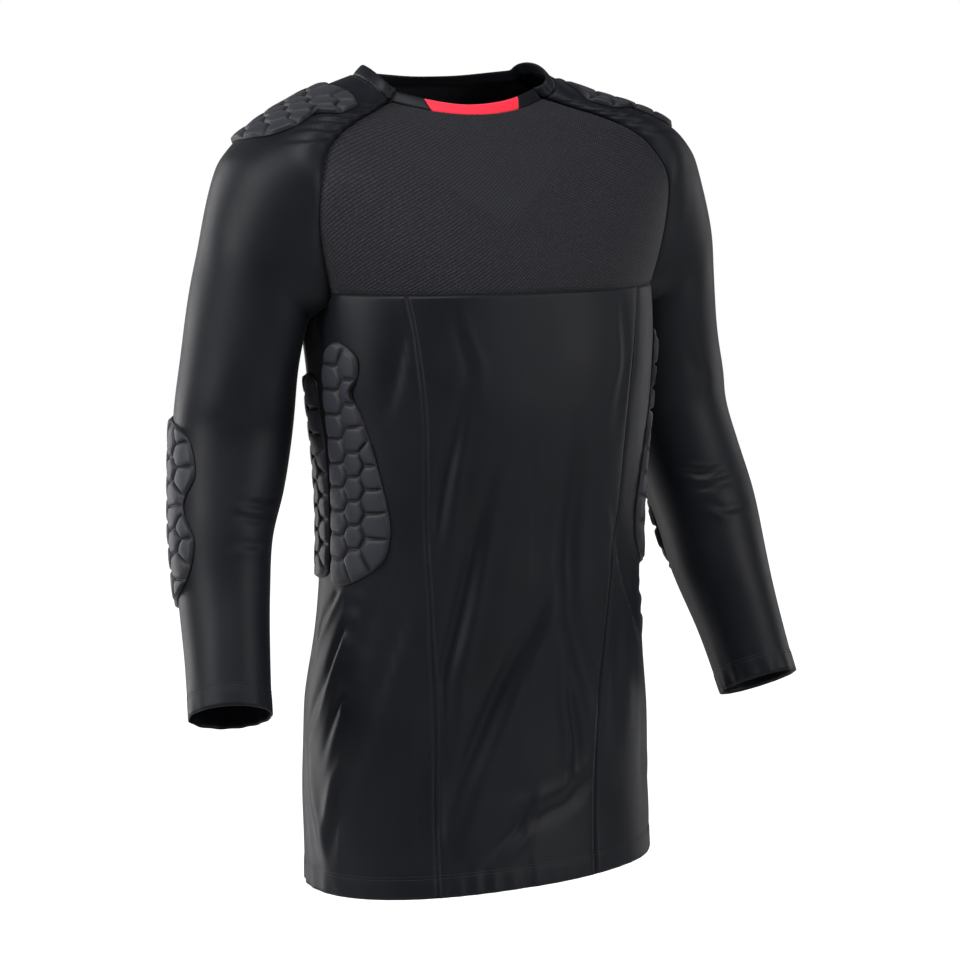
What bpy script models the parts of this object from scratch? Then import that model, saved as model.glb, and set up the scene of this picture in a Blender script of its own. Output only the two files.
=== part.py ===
# Padded compression shirt in the shape of its wearer, with no wearer inside.
# The tables are in millimetres. Front faces -Y, the wearer's left is +X, and the origin is the centre of the
# neck opening, level with the top of the neck band at the shoulders.

import bpy
import bmesh
import numpy as np
from math import acos, asin, atan2, ceil, copysign, cos, exp, floor, hypot, pi, radians, sin, sqrt

MM = 0.001
SEAM_GAP = 0.3          # between two panels along a seam
CLOTH = 1.5             # wall of the jersey and mesh panels
BAND_CLOTH = 2.0        # folded strip of the neck band
BAND_RISE = 9.5         # the band stands up by this
BAND_LEAN = 8.0         # and leans this far in to the neck
BAND_FOOT = 0.04        # share of its width at which it starts, clear of the yoke
INSERT_HALF_FOOT = 46   # red insert, half its length along the yoke
INSERT_HALF_TOP = 58    # and along its top edge, where the band laps it on a slant

CHEST_SEAM_Z = -200
HEM_Z = -747            # at its lowest
HEM_LIFT = 19           # the hem hangs this much higher on the opposite side
HEM_LOW_ANGLE = -68     # degrees from the front, where it is lowest
TORSO_Y = -52           # front-to-back centre of the torso

# Sections of the torso, hem first: height, half width, depth to the front, depth to the back, fullness.
TORSO = (
    (-745, 169, 106, 112, 2.20),
    (-670, 168,  95, 133, 2.20),
    (-580, 165,  92, 128, 2.25),
    (-485, 157,  96,  95, 2.30),
    (-415, 155,  99,  87, 2.35),
    (-350, 157, 104,  92, 2.45),
    (-290, 162, 108, 102, 2.50),
    (-200, 168, 106, 116, 2.55),
)

# Princess seams, hem first: height, half the front panel, half the back panel, sideways twist of the skirt.
PRINCESS = (
    (-745,  79,  92, -12),
    (-600,  83,  92,  -5),
    (-490,  91,  90,  -2),
    (-415,  98,  92,   0),
    (-300, 105,  98,   1),
    (-200, 118, 104,   1),
)

# Centre lines above the chest seam: height and front-to-back place.
CHEST_LINE = ((-200, -158), (-178, -153), (-150, -142), (-115, -122), (-85, -99), (-62, -74), (-44, -52))
BACK_LINE = ((-200, 64), (-150, 71), (-110, 75), (-70, 74), (-40, 66), (-20, 52))
NECK_DIP_FRONT = 12     # the neck edge of the yoke sags this far between the raglan seams
NECK_DIP_BACK = 5

# Raglan seam from the neck to the underarm: front seam x, y, z; crest x, y, z; back seam x, y, z; half depth
# of the sleeve there. The last row is the underarm, where both seams meet and the sleeve closes to a ring.
RAGLAN = (
    ( 79, -25,  -32,   97,  -8,   -12,   82, 31,  -16,  32),
    (103, -40,  -41,  121,  -2,   -22,  105, 46,  -27,  46),
    (126, -52,  -49,  145,   1,   -30,  127, 58,  -43,  58),
    (149, -65,  -60,  170,   4,   -39,  145, 66,  -65,  68),
    (167, -76,  -77,  194,   5,   -51,  155, 68,  -93,  76),
    (178, -88, -104,  218,   5,   -67,  159, 65, -124,  80),
    (177, -84, -146,  240,   2,   -93,  155, 55, -165,  75),
    (163, -75, -200,  253,  -2,  -131,  141, 30, -200,  66),
    (167, -52, -221,  258,  -4,  -161,  155, 12, -220,  62),
    (166, -18, -231,  264,  -6,  -192,  166, -18, -231, 61),
)
CORNER = 7              # row of the raglan table at the chest seam
UNDERARM = 9            # its last row

# Arms below the underarm, each mirrored to the left: centre x, y, z; half width; half depth. The right arm
# hangs closer and shorter, the left one is held further out.
RIGHT_ARM = (
    (220,  -5, -258, 52, 58),
    (224,  -3, -295, 54, 57),
    (228,  -3, -333, 54, 53),
    (237, -13, -375, 51, 50),
    (249, -27, -420, 45, 47),
    (255, -42, -470, 41, 44),
    (263, -66, -523, 38, 41),
    (271, -89, -573, 37, 38),
)
LEFT_ARM = (
    (219,  -7, -258, 51, 57),
    (226,  -5, -295, 53, 56),
    (232,  -7, -333, 52, 53),
    (242, -18, -375, 50, 50),
    (252, -33, -420, 49, 48),
    (258, -50, -470, 46, 46),
    (266, -74, -527, 39, 42),
    (273, -98, -583, 37, 38),
)
CUFF = UNDERARM + len(LEFT_ARM)

# Largest folds of the torso: angle and height at each end, half width, depth.
FOLDS = (
    (-41, -222, -52, -307,  9, 3.0),
    (-23, -303, -34, -422, 10, 3.0),
    (-14, -393, -28, -547, 11, 3.5),
    (-28, -547, -29, -640, 11, 3.0),
    (  5, -487, -27, -678, 12, 3.5),
    ( 13, -355,  14, -492, 11, 2.5),
    ( 14, -492,  24, -578, 10, 2.5),
    (-48, -452, -71, -621, 16, 5.0),
    ( 34, -419,  59, -517, 11, 3.0),
    (150, -330, 172, -470, 13, 3.5),
    (196, -350, 184, -500, 13, 3.5),
    (205, -520, 168, -660, 13, 3.5),
)
FOLD_RUN_OUT = 0.15     # a fold fades out this share of its length beyond each end
DEGREE_LENGTH = 2.3     # along the torso, for one degree
SETTLING = 18           # how soon below its top seam a panel lies on the sections of the torso

PANEL_ROWS = 19
CENTRE_COLUMNS = 12     # of the front and back panels, and of the yokes between the princess seams
OUTER_COLUMNS = 2       # from a princess seam to the raglan seam
YOKE_ROWS = 9
UNDERARM_ROWS = 4
ARM_ROWS = 17
AROUND_SLEEVE = 20

# Hexagon pads
CELL = 22               # across the flats
CELL_INSET = 0.80       # the raised top against its whole cell
PAD_FILM = 1.0          # the film between the cells
PAD_RISE = 3.2          # a cell over its film
SIDE_RADIUS = 112       # of the torso at the side, where the rib pads lie
ELBOW_LENGTH = 473      # from the neck along the crest to the point of the elbow
ELBOW_TURN = {1: 0.70, -1: 0.64}    # round the left and the right sleeve, middle of the elbow pad
CREST_TURN = 0.5        # and of the shoulder pad
FRONT_LIFT = 1.25       # foot of a front rib pad over the panel's curve, clear of its facets
BACK_LIFT = 2.1         # of a back one, where the panel turns more tightly
SHOULDER_LIFT = 1.45    # of a shoulder pad, on the flat of the shoulder
ELBOW_LIFT = 2.3        # of an elbow pad, round the bent arm

# Outlines of the pads. Rib pads: distance to the front from the side of the torso, height.
RIB_PAD_FRONT = (
    (46, -254), (47, -272), (38, -289), (48, -306), (60, -343), (72, -390), (75, -415), (69, -438),
    (48, -455), (20, -465), (8, -455), (7, -390), (6, -330), (4, -290), (8, -258), (24, -243))
RIB_PAD_BACK = (
    (0, -286), (-20, -276), (-44, -286), (-58, -320), (-62, -380), (-56, -435), (-34, -461), (-6, -460),
    (2, -450), (2, -390), (0, -330), (-3, -295))
# Shoulder pad: distance to the front from the crest, length from the neck.
SHOULDER_PAD = (
    (10, 24), (34, 34), (44, 58), (36, 74), (40, 86), (46, 102), (40, 122), (16, 132), (-16, 132), (-40, 122),
    (-46, 102), (-40, 86), (-44, 60), (-34, 34), (-10, 24))
# Elbow pad: distance to the front from its middle, length below the point of the elbow.
ELBOW_PAD = (
    (30, -77), (64, -62), (72, -25), (56, 4), (64, 38), (46, 74), (0, 86), (-46, 74), (-64, 38), (-56, 4),
    (-72, -25), (-64, -62), (-30, -77), (0, -82))
SHARP_EDGE = 50         # degrees

COLOURS = {
    "jersey": ((0.020, 0.020, 0.024), 0.62),
    "mesh": ((0.028, 0.028, 0.036), 0.80),
    "band": ((0.018, 0.018, 0.021), 0.70),
    "insert": ((0.930, 0.048, 0.070), 0.60),
    "pad": ((0.045, 0.046, 0.056), 0.50),
}


# Curves through tables

def smooth(knots, values, at):
    # cubic through every knot, sloped by its neighbours
    knots = np.asarray(knots, float)
    values = np.asarray(values, float)
    slopes = np.gradient(values, knots, axis=0)
    i = int(np.clip(np.searchsorted(knots, at, side="right") - 1, 0, len(knots) - 2))
    span = knots[i + 1] - knots[i]
    u = (at - knots[i]) / span
    return ((2 * u ** 3 - 3 * u ** 2 + 1) * values[i] + (u ** 3 - 2 * u ** 2 + u) * span * slopes[i]
            + (3 * u ** 2 - 2 * u ** 3) * values[i + 1] + (u ** 3 - u ** 2) * span * slopes[i + 1])


def along(table, at):
    # the other columns of a table whose first column is the height
    rows = np.asarray(table, float)
    return smooth(rows[:, 0], rows[:, 1:], at)


def blend(a, b, share):
    return a + (b - a) * share


def unit(v):
    return v / np.linalg.norm(v)


# Torso surface: angle 0 at the front, growing to the wearer's left

def fold_depth(angle, z):
    total = 0
    turned = np.degrees(angle) % 360
    for angle_a, z_a, angle_b, z_b, half_width, depth in FOLDS:
        across = ((turned - angle_a + 180) % 360 - 180) * DEGREE_LENGTH
        run = np.array(((angle_b - angle_a) * DEGREE_LENGTH, z_b - z_a))
        here = np.array((across, z - z_a))
        share = np.dot(here, run) / np.dot(run, run)
        clamped = min(max(share, 0), 1)
        off = here - run * clamped
        taper = sin(pi * min(max((share + FOLD_RUN_OUT) / (1 + 2 * FOLD_RUN_OUT), 0), 1))
        total += depth * taper * exp(-np.dot(off, off) / (2 * half_width ** 2))
    return total


def torso_point(angle, z):
    width, front, back, fullness = along(TORSO, z)
    s, c = sin(angle), cos(angle)
    x = width * copysign(abs(s) ** (2 / fullness), s)
    y = -(front if c > 0 else back) * copysign(abs(c) ** (2 / fullness), c)
    shrink = 1 - fold_depth(angle, z) / hypot(x, y)
    return np.array((x * shrink, TORSO_Y + y * shrink, z))


def torso_angle_at(x, z, back=False):
    width, _, _, fullness = along(TORSO, z)
    angle = copysign(asin(min(abs(x) / width, 1) ** (fullness / 2)), x)
    return pi - angle if back else angle


def torso_angle_of(point):
    x, y, z = point
    width, front, back, fullness = along(TORSO, z)
    ahead = TORSO_Y - y
    s = copysign((abs(x) / width) ** (fullness / 2), x)
    c = copysign((abs(ahead) / (front if ahead > 0 else back)) ** (fullness / 2), ahead)
    return atan2(s, c)


def princess_angles(z):
    # front right, front left, back left, back right
    front_half, back_half, twist = along(PRINCESS, z)
    return (torso_angle_at(twist - front_half, z), torso_angle_at(twist + front_half, z),
            torso_angle_at(twist + back_half, z, back=True),
            torso_angle_at(twist - back_half, z, back=True))


def hem_height(angle):
    return HEM_Z + HEM_LIFT * (1 - cos(angle - radians(HEM_LOW_ANGLE))) / 2


def seam_line(number):
    return lambda z: princess_angles(z)[number]


# Sleeve surface: stations from the neck to the cuff, each an arc of an ellipse

def sleeve_frames(arm):
    # centre, front axis, crest axis and how far the arc reaches below its centre, for each station
    frames = []
    for row in RAGLAN:
        front, crest, back = (np.array(row[k:k + 3], float) for k in (0, 3, 6))
        half_depth = row[9]
        middle = (front + back) / 2
        half_gap = np.linalg.norm(front - back) / 2
        reach = acos(min(half_gap / half_depth, 1))
        height = np.linalg.norm(crest - middle)
        half_height = height / (1 + sin(reach))
        lift = unit(crest - middle)
        ahead = unit(front - back) if half_gap > 1 else np.array((0, -1, 0))
        centre = middle + lift * (height - half_height)
        frames.append(np.concatenate((centre, ahead * half_depth, lift * half_height, (reach,))))
    centres = [frames[-1][:3]] + [np.array(row[:3], float) for row in arm]
    for i, (x, y, z, half_width, half_depth) in enumerate(arm, 1):
        down = unit(centres[min(i + 1, len(arm))] - centres[i - 1])
        ahead = unit(np.cross(down, (1, 0, 0)))
        lift = unit(np.cross(ahead, down))
        frames.append(np.concatenate(((x, y, z), ahead * half_depth, lift * half_width, (pi / 2,))))
    return np.array(frames)


FRAMES = {1: sleeve_frames(LEFT_ARM), -1: sleeve_frames(RIGHT_ARM)}


def sleeve_point(station, turn, side=1):
    # turn runs from 0 at the front seam over 0.5 at the crest to 1 at the back seam. The right sleeve,
    # side -1, comes out on the left too, and is mirrored by its user.
    frame = smooth(range(len(FRAMES[side])), FRAMES[side], station)
    reach = min(max(frame[9], 0), pi / 2)
    if station >= UNDERARM:
        reach = pi / 2
    angle = blend(-reach, pi + reach, turn)
    return frame[:3] + frame[3:6] * cos(angle) + frame[6:9] * sin(angle)


def sleeve_measures(side, step=0.2, turns=24):
    # length along the crest and girth of the sleeve, against the station
    stations = np.arange(0, CUFF + step / 2, step)
    rings = np.array([[sleeve_point(station, turn / turns, side) for turn in range(turns + 1)]
                      for station in stations])
    girths = np.linalg.norm(np.diff(rings, axis=1), axis=2).sum(axis=1)
    steps = np.linalg.norm(np.diff(rings[:, turns // 2], axis=0), axis=1)
    return stations, np.concatenate(((0,), np.cumsum(steps))), girths


MEASURES = {side: sleeve_measures(side) for side in (1, -1)}


# Yokes above the chest seam

def torso_profile(share, back):
    # how far the torso section bulges between the raglan corners, 0 at a corner and 1 at the centre
    corner = np.array(RAGLAN[CORNER][6:9] if back else RAGLAN[CORNER][0:3], float)
    at = [torso_point(torso_angle_at(corner[0] * k, CHEST_SEAM_Z, back), CHEST_SEAM_Z)[1]
          for k in (share, 1, 0)]
    return (at[0] - at[1]) / (at[2] - at[1])


def yoke_point(share, station, back=False):
    # share runs from -1 at the right raglan seam to 1 at the left one
    seam = sleeve_point(station, 1 if back else 0)
    neckness = (1 - station / CORNER) ** 1.5
    bulge = blend(torso_profile(share, back), 1 - share ** 2, neckness)
    dip = (NECK_DIP_BACK if back else NECK_DIP_FRONT) * (1 - station / CORNER) ** 2
    centre_z = seam[2] - dip
    centre_y = along(BACK_LINE if back else CHEST_LINE, centre_z)[0]
    return np.array((seam[0] * share, blend(seam[1], centre_y, bulge),
                     blend(seam[2], centre_z, 1 - share ** 2)))


def yoke_shares(back=False):
    # columns of a yoke, so that the princess seams meet it at its points
    corner = RAGLAN[CORNER][6] if back else RAGLAN[CORNER][0]
    angles = princess_angles(CHEST_SEAM_Z)
    right, left = (torso_point(angles[k], CHEST_SEAM_Z)[0] / corner for k in ((3, 2) if back else (0, 1)))
    return np.concatenate((np.linspace(-1, right, OUTER_COLUMNS + 1)[:-1],
                           np.linspace(right, left, CENTRE_COLUMNS + 1),
                           np.linspace(left, 1, OUTER_COLUMNS + 1)[1:]))


# Grids of points, rows from top to bottom. Seen from outside, the columns run to the right.

def mirrored(grid):
    return grid[:, ::-1] * (-1, 1, 1)


def yoke_grid(back=False):
    stations = np.linspace(0, CORNER, YOKE_ROWS + 1)
    grid = np.array([[yoke_point(share, station, back) for share in yoke_shares(back)]
                     for station in stations])
    return grid[:, ::-1] if back else grid


def underarm_stations():
    return np.linspace(CORNER, UNDERARM, UNDERARM_ROWS + 1)


def hang(top_points, first, last):
    # a torso panel from its top edge down to the hem, between two seams given as angles by height
    turns = np.unwrap([torso_angle_of(point) for point in top_points])
    spans = (turns - turns[0]) / (turns[-1] - turns[0])

    def angles(level):
        a, b = first(level), last(level)
        b += 2 * pi * round((turns[-1] - turns[0] - (b - a)) / (2 * pi))
        return a + (b - a) * spans

    slips = [top - torso_point(angle, top[2]) for top, angle in zip(top_points, angles(CHEST_SEAM_Z))]
    rows = []
    for depth in np.linspace(0, 1, PANEL_ROWS + 1):
        fade = (1 - depth) ** SETTLING
        turned = angles(blend(CHEST_SEAM_Z, HEM_Z, depth))
        rows.append([torso_point(angle, blend(top[2], hem_height(angle), depth)) + slip * fade
                     for top, angle, slip in zip(top_points, turned, slips)])
    return np.array(rows)


def front_panel_grid():
    top = yoke_grid()[-1][OUTER_COLUMNS:-OUTER_COLUMNS]
    return hang(top, seam_line(0), seam_line(1))


def back_panel_grid():
    top = yoke_grid(back=True)[-1][OUTER_COLUMNS:-OUTER_COLUMNS]
    return hang(top, seam_line(2), seam_line(3))


def side_panel_grid(side):
    stations = underarm_stations()
    front_seam = [sleeve_point(station, 0) for station in stations]
    back_seam = [sleeve_point(station, 1) for station in stations]
    if side > 0:
        top = np.array(list(yoke_grid()[-1][-OUTER_COLUMNS - 1:]) + front_seam[1:] + back_seam[-2::-1]
                       + list(yoke_grid(back=True)[-1][1:OUTER_COLUMNS + 1]))
        return hang(top, seam_line(1), seam_line(2))
    mirror = np.array((-1, 1, 1))
    top = np.array(list(yoke_grid(back=True)[-1][-OUTER_COLUMNS - 1:]) + [p * mirror for p in back_seam[1:]]
                   + [p * mirror for p in front_seam[-2::-1]] + list(yoke_grid()[-1][1:OUTER_COLUMNS + 1]))
    return hang(top, seam_line(3), seam_line(0))


def sleeve_grid(side):
    stations = np.concatenate((np.linspace(0, CORNER, YOKE_ROWS + 1), underarm_stations()[1:],
                               np.linspace(UNDERARM, CUFF, ARM_ROWS + 1)[1:]))
    turns = np.linspace(0, 1, AROUND_SLEEVE + 1)
    grid = np.array([[sleeve_point(station, turn, side) for turn in turns] for station in stations])
    return grid if side > 0 else mirrored(grid)


def neck_edge():
    # the closed edge that the neck band stands on, from the front centre round by the wearer's left
    front = yoke_grid()[0]
    back = yoke_grid(back=True)[0]
    left = sleeve_grid(1)[0]
    right = sleeve_grid(-1)[0]
    middle = len(front) // 2
    return np.concatenate((front[middle:-1], left[:-1], back[:-1], right[:-1], front[:middle]))


def band_point(foot, share):
    inward = unit(np.array((-foot[0], -foot[1], 0)))
    return foot + share * (inward * BAND_LEAN + np.array((0, 0, BAND_RISE)))


# Solids

def grid_faces(rows, columns, closed_below=None):
    # quads of a grid; from row closed_below on, the last column is the first one
    def at(i, j):
        if closed_below is not None and i >= closed_below and j == columns - 1:
            j = 0
        return i * columns + j
    return [(at(i, j), at(i + 1, j), at(i + 1, j + 1), at(i, j + 1))
            for i in range(rows - 1) for j in range(columns - 1)]


def point_normals(points, faces):
    normals = np.zeros_like(points)
    for face in faces:
        corners = points[list(face)]
        normals[list(face)] += np.cross(corners[2] - corners[0], corners[3] - corners[1])
    lengths = np.linalg.norm(normals, axis=1, keepdims=True)
    return normals / np.where(lengths > 0, lengths, 1)


def rim_edges(faces):
    edges = {}
    for face in faces:
        for a, b in zip(face, face[1:] + face[:1]):
            if a != b:
                edges[(a, b)] = edges.get((a, b), 0) + 1
    return [(a, b) for (a, b) in edges if (b, a) not in edges]


def seam_normals(panels):
    # where panels share a seam point, they share its normal, so their walls meet square
    shared = {}
    for points, faces, normals in panels.values():
        for a, _ in rim_edges(faces):
            shared.setdefault(tuple(np.round(points[a], 1)), []).append((normals, a))
    for group in shared.values():
        mean = unit(sum(normals[a] for normals, a in group))
        for normals, a in group:
            normals[a] = mean


def drawn_back(points, faces, normals):
    # the rim moved in by half a seam gap, square to its edges
    inward = {}
    for a, b in rim_edges(faces):
        step = unit(np.cross(normals[a] + normals[b], points[b] - points[a]))
        inward.setdefault(a, []).append(step)
        inward.setdefault(b, []).append(step)
    moved = points.copy()
    for k, steps in inward.items():
        total = sum(steps)
        moved[k] += SEAM_GAP / 2 * total / (1 + np.dot(steps[0], steps[-1]) if len(steps) > 1 else 1)
    return moved


def material(name):
    made = bpy.data.materials.get(name)
    if made is None:
        colour, roughness = COLOURS[name]
        made = bpy.data.materials.new(name)
        made.use_nodes = True
        shader = made.node_tree.nodes["Principled BSDF"]
        shader.inputs["Base Color"].default_value = (*colour, 1)
        shader.inputs["Roughness"].default_value = roughness
        shader.inputs["Metallic"].default_value = 0
        made.diffuse_color = (*colour, 1)
    return made


def add_solid(name, points, faces, finish):
    mesh = bpy.data.meshes.new(name)
    used = sorted({k for face in faces for k in face})
    place = {k: n for n, k in enumerate(used)}
    mesh.from_pydata([tuple(points[k] * MM) for k in used], [], [[place[k] for k in face] for face in faces])
    work = bmesh.new()
    work.from_mesh(mesh)
    bmesh.ops.triangulate(work, faces=work.faces, quad_method="FIXED")
    work.to_mesh(mesh)
    work.free()
    mesh.shade_smooth()
    mesh.set_sharp_from_angle(angle=radians(SHARP_EDGE))
    mesh.materials.append(material(finish))
    solid = bpy.data.objects.new(name, mesh)
    bpy.context.scene.collection.objects.link(solid)
    return solid


def add_wall(name, points, faces, normals, thickness, finish):
    # a closed wall under the outer points
    outer = drawn_back(points, faces, normals)
    inner = outer - normals * thickness
    count = len(points)
    lining = [tuple(k + count for k in reversed(face)) for face in faces]
    rim = [(b, a, a + count, b + count) for a, b in rim_edges(faces)]
    add_solid(name, np.concatenate((outer, inner)), list(faces) + lining + rim, finish)


def add_panels():
    made = {
        "chest_yoke": (yoke_grid(), "mesh"),
        "back_yoke": (yoke_grid(back=True), "mesh"),
        "front_centre_panel": (front_panel_grid(), "jersey"),
        "back_panel": (back_panel_grid(), "jersey"),
        "side_panel_left": (side_panel_grid(1), "jersey"),
        "side_panel_right": (side_panel_grid(-1), "jersey"),
        "sleeve_left": (sleeve_grid(1), "jersey"),
        "sleeve_right": (sleeve_grid(-1), "jersey"),
    }
    ring_from = YOKE_ROWS + UNDERARM_ROWS
    panels = {}
    for name, (grid, _) in made.items():
        rows, columns = grid.shape[:2]
        points = grid.reshape(-1, 3)
        faces = grid_faces(rows, columns, ring_from if name.startswith("sleeve") else None)
        panels[name] = (points, faces, point_normals(points, faces))
    seam_normals(panels)
    for name, (points, faces, normals) in panels.items():
        add_wall(name, points, faces, normals, CLOTH, made[name][1])


def add_band():
    edge = neck_edge()
    count = len(edge)
    middle = count // 2
    steps = np.linalg.norm(np.roll(edge, -1, axis=0) - edge, axis=1)
    lengths = np.concatenate(((0,), np.cumsum(steps)))
    whole = lengths[-1]

    def edge_at(length):
        length %= whole
        k = int(np.searchsorted(lengths, length, side="right") - 1)
        share = (length - lengths[k]) / (lengths[k + 1] - lengths[k])
        return blend(edge[k], edge[(k + 1) % count], share)

    def strip(name, starts, ends, columns, finish):
        # a strip between two slanted ends, each given as a length at its foot and at its top
        rows = (1.0, 0.5, BAND_FOOT)
        grid = []
        for share in rows:
            at = np.linspace(blend(*starts, share), blend(*ends, share), columns + 1)
            grid.append([band_point(edge_at(length), share) for length in at])
        grid = np.array(grid)
        points = grid.reshape(-1, 3)
        faces = grid_faces(len(rows), columns + 1)
        add_wall(name, points, faces, point_normals(points, faces), BAND_CLOTH, finish)

    foot, top = INSERT_HALF_FOOT, INSERT_HALF_TOP
    strip("front_insert", (-foot, -top), (foot, top), 8, "insert")
    strip("neck_band", (foot, top), (whole - foot, whole - top), 36, "band")


# Pads

def closed_curve(corners, steps=8):
    # a smooth closed line through its corners
    corners = np.array(corners, float)
    count = len(corners)
    line = []
    for k in range(count):
        a, b, c, d = (corners[(k + n) % count] for n in (-1, 0, 1, 2))
        for u in np.arange(steps) / steps:
            line.append(0.5 * (2 * b + (c - a) * u + (2 * a - 5 * b + 4 * c - d) * u ** 2
                               + (3 * b - a - 3 * c + d) * u ** 3))
    return np.array(line)


def inside(line, point):
    crossings = 0
    for a, b in zip(line, np.roll(line, -1, axis=0)):
        if (a[1] > point[1]) != (b[1] > point[1]):
            crossings += point[0] < a[0] + (point[1] - a[1]) * (b[0] - a[0]) / (b[1] - a[1])
    return crossings % 2 == 1


def hexagon_net(line):
    # cells stacked along the second coordinate; the outer corners lie on the pad's outline
    column_step = CELL * sqrt(3) / 2
    edge_length = CELL / sqrt(3)
    low, high = line.min(axis=0), line.max(axis=0)
    cells = []
    for column in range(floor(low[0] / column_step), ceil(high[0] / column_step) + 1):
        shift = CELL / 2 * (column % 2)
        for row in range(floor(low[1] / CELL) - 1, ceil(high[1] / CELL) + 1):
            centre = np.array((column * column_step, row * CELL + shift))
            if inside(line, centre):
                cells.append(centre)
    corner_index, corners, rings = {}, [], []
    for centre in cells:
        ring = []
        for k in range(6):
            corner = centre + edge_length * np.array((cos(k * pi / 3), sin(k * pi / 3)))
            key = (round(2 * corner[0] / edge_length), round(2 * corner[1] / CELL))
            if key not in corner_index:
                corner_index[key] = len(corners)
                corners.append(corner)
            ring.append(corner_index[key])
        rings.append(ring)
    uses = np.bincount([k for ring in rings for k in ring])
    for k, used in enumerate(uses):
        if used < 3:
            corners[k] = line[np.argmin(np.linalg.norm(line - corners[k], axis=1))]
    return np.array(corners), rings


def add_pad(name, outline, surface, outward, clearance):
    # surface gives a point of the panel, and outward is the side of it that faces out. The clearance lifts
    # the pad's foot clear of the panel's facets.
    corners, rings = hexagon_net(closed_curve(outline))

    def place(p, q, height):
        across = surface(p + 1, q) - surface(p - 1, q)
        lengthwise = surface(p, q + 1) - surface(p, q - 1)
        return surface(p, q) + unit(np.cross(across, lengthwise)) * height * outward

    foot = [place(p, q, clearance) for p, q in corners]
    film = [place(p, q, clearance + PAD_FILM) for p, q in corners]
    points = foot + film
    faces = []
    edges = set()
    for ring in rings:
        middle = corners[ring].mean(axis=0)
        top = []
        for p, q in corners[ring]:
            inset_p, inset_q = middle + (np.array((p, q)) - middle) * CELL_INSET
            top.append(len(points))
            points.append(place(inset_p, inset_q, clearance + PAD_FILM + PAD_RISE))
        upper = [k + len(foot) for k in ring]
        faces.append(tuple(top))
        faces.append(tuple(reversed(ring)))
        for k in range(6):
            n = (k + 1) % 6
            faces.append((upper[k], upper[n], top[n], top[k]))
            edges.add((ring[k], ring[n]))
    for a, b in edges:
        if (b, a) not in edges:
            faces.append((a, b, b + len(foot), a + len(foot)))
    if outward < 0:
        faces = [tuple(reversed(face)) for face in faces]
    add_solid(name, np.array(points), faces, "pad")


def torso_side(side):
    # p grows to the front from the side of the torso, q is the height
    return lambda p, q: torso_point(side * (pi / 2 - p / SIDE_RADIUS), q)


def sleeve_side(side, middle_turn):
    # p grows to the front from the middle line, q is the length from the neck along the crest
    stations, lengths, girths = MEASURES[side]

    def surface(p, q):
        station = np.interp(q, lengths, stations)
        girth = np.interp(q, lengths, girths)
        return sleeve_point(station, middle_turn - p / girth, side) * (side, 1, 1)
    return surface


def add_pads():
    elbow = [(p, q + ELBOW_LENGTH) for p, q in ELBOW_PAD]
    for side, word in ((1, "left"), (-1, "right")):
        add_pad("rib_pad_front_" + word, RIB_PAD_FRONT, torso_side(side), -side, FRONT_LIFT)
        add_pad("rib_pad_back_" + word, RIB_PAD_BACK, torso_side(side), -side, BACK_LIFT)
        add_pad("elbow_pad_" + word, elbow, sleeve_side(side, ELBOW_TURN[side]), side, ELBOW_LIFT)
        add_pad("shoulder_pad_" + word, SHOULDER_PAD, sleeve_side(side, CREST_TURN), side, SHOULDER_LIFT)


def main():
    for thing in list(bpy.data.objects):
        bpy.data.objects.remove(thing)
    add_panels()
    add_band()
    add_pads()


main()
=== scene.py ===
import bpy
import bmesh
import numpy as np
from math import acos, ceil, cos, floor, pi, radians, sin, sqrt
from mathutils import Matrix, Vector


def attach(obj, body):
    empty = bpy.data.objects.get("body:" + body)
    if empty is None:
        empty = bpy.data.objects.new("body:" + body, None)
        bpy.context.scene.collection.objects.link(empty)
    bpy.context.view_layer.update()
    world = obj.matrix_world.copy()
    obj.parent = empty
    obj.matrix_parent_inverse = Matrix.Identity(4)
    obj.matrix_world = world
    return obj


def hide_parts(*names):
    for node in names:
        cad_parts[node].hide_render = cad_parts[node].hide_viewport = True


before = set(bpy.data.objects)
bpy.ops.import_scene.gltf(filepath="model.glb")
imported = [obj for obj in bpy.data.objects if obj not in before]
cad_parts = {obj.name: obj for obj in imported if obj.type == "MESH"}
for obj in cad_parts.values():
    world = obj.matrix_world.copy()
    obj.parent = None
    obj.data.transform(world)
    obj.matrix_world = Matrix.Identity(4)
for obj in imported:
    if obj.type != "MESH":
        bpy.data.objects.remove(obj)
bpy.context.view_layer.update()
print("frame loaded:", len(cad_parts), "nodes")

mm = 0.001

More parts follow.
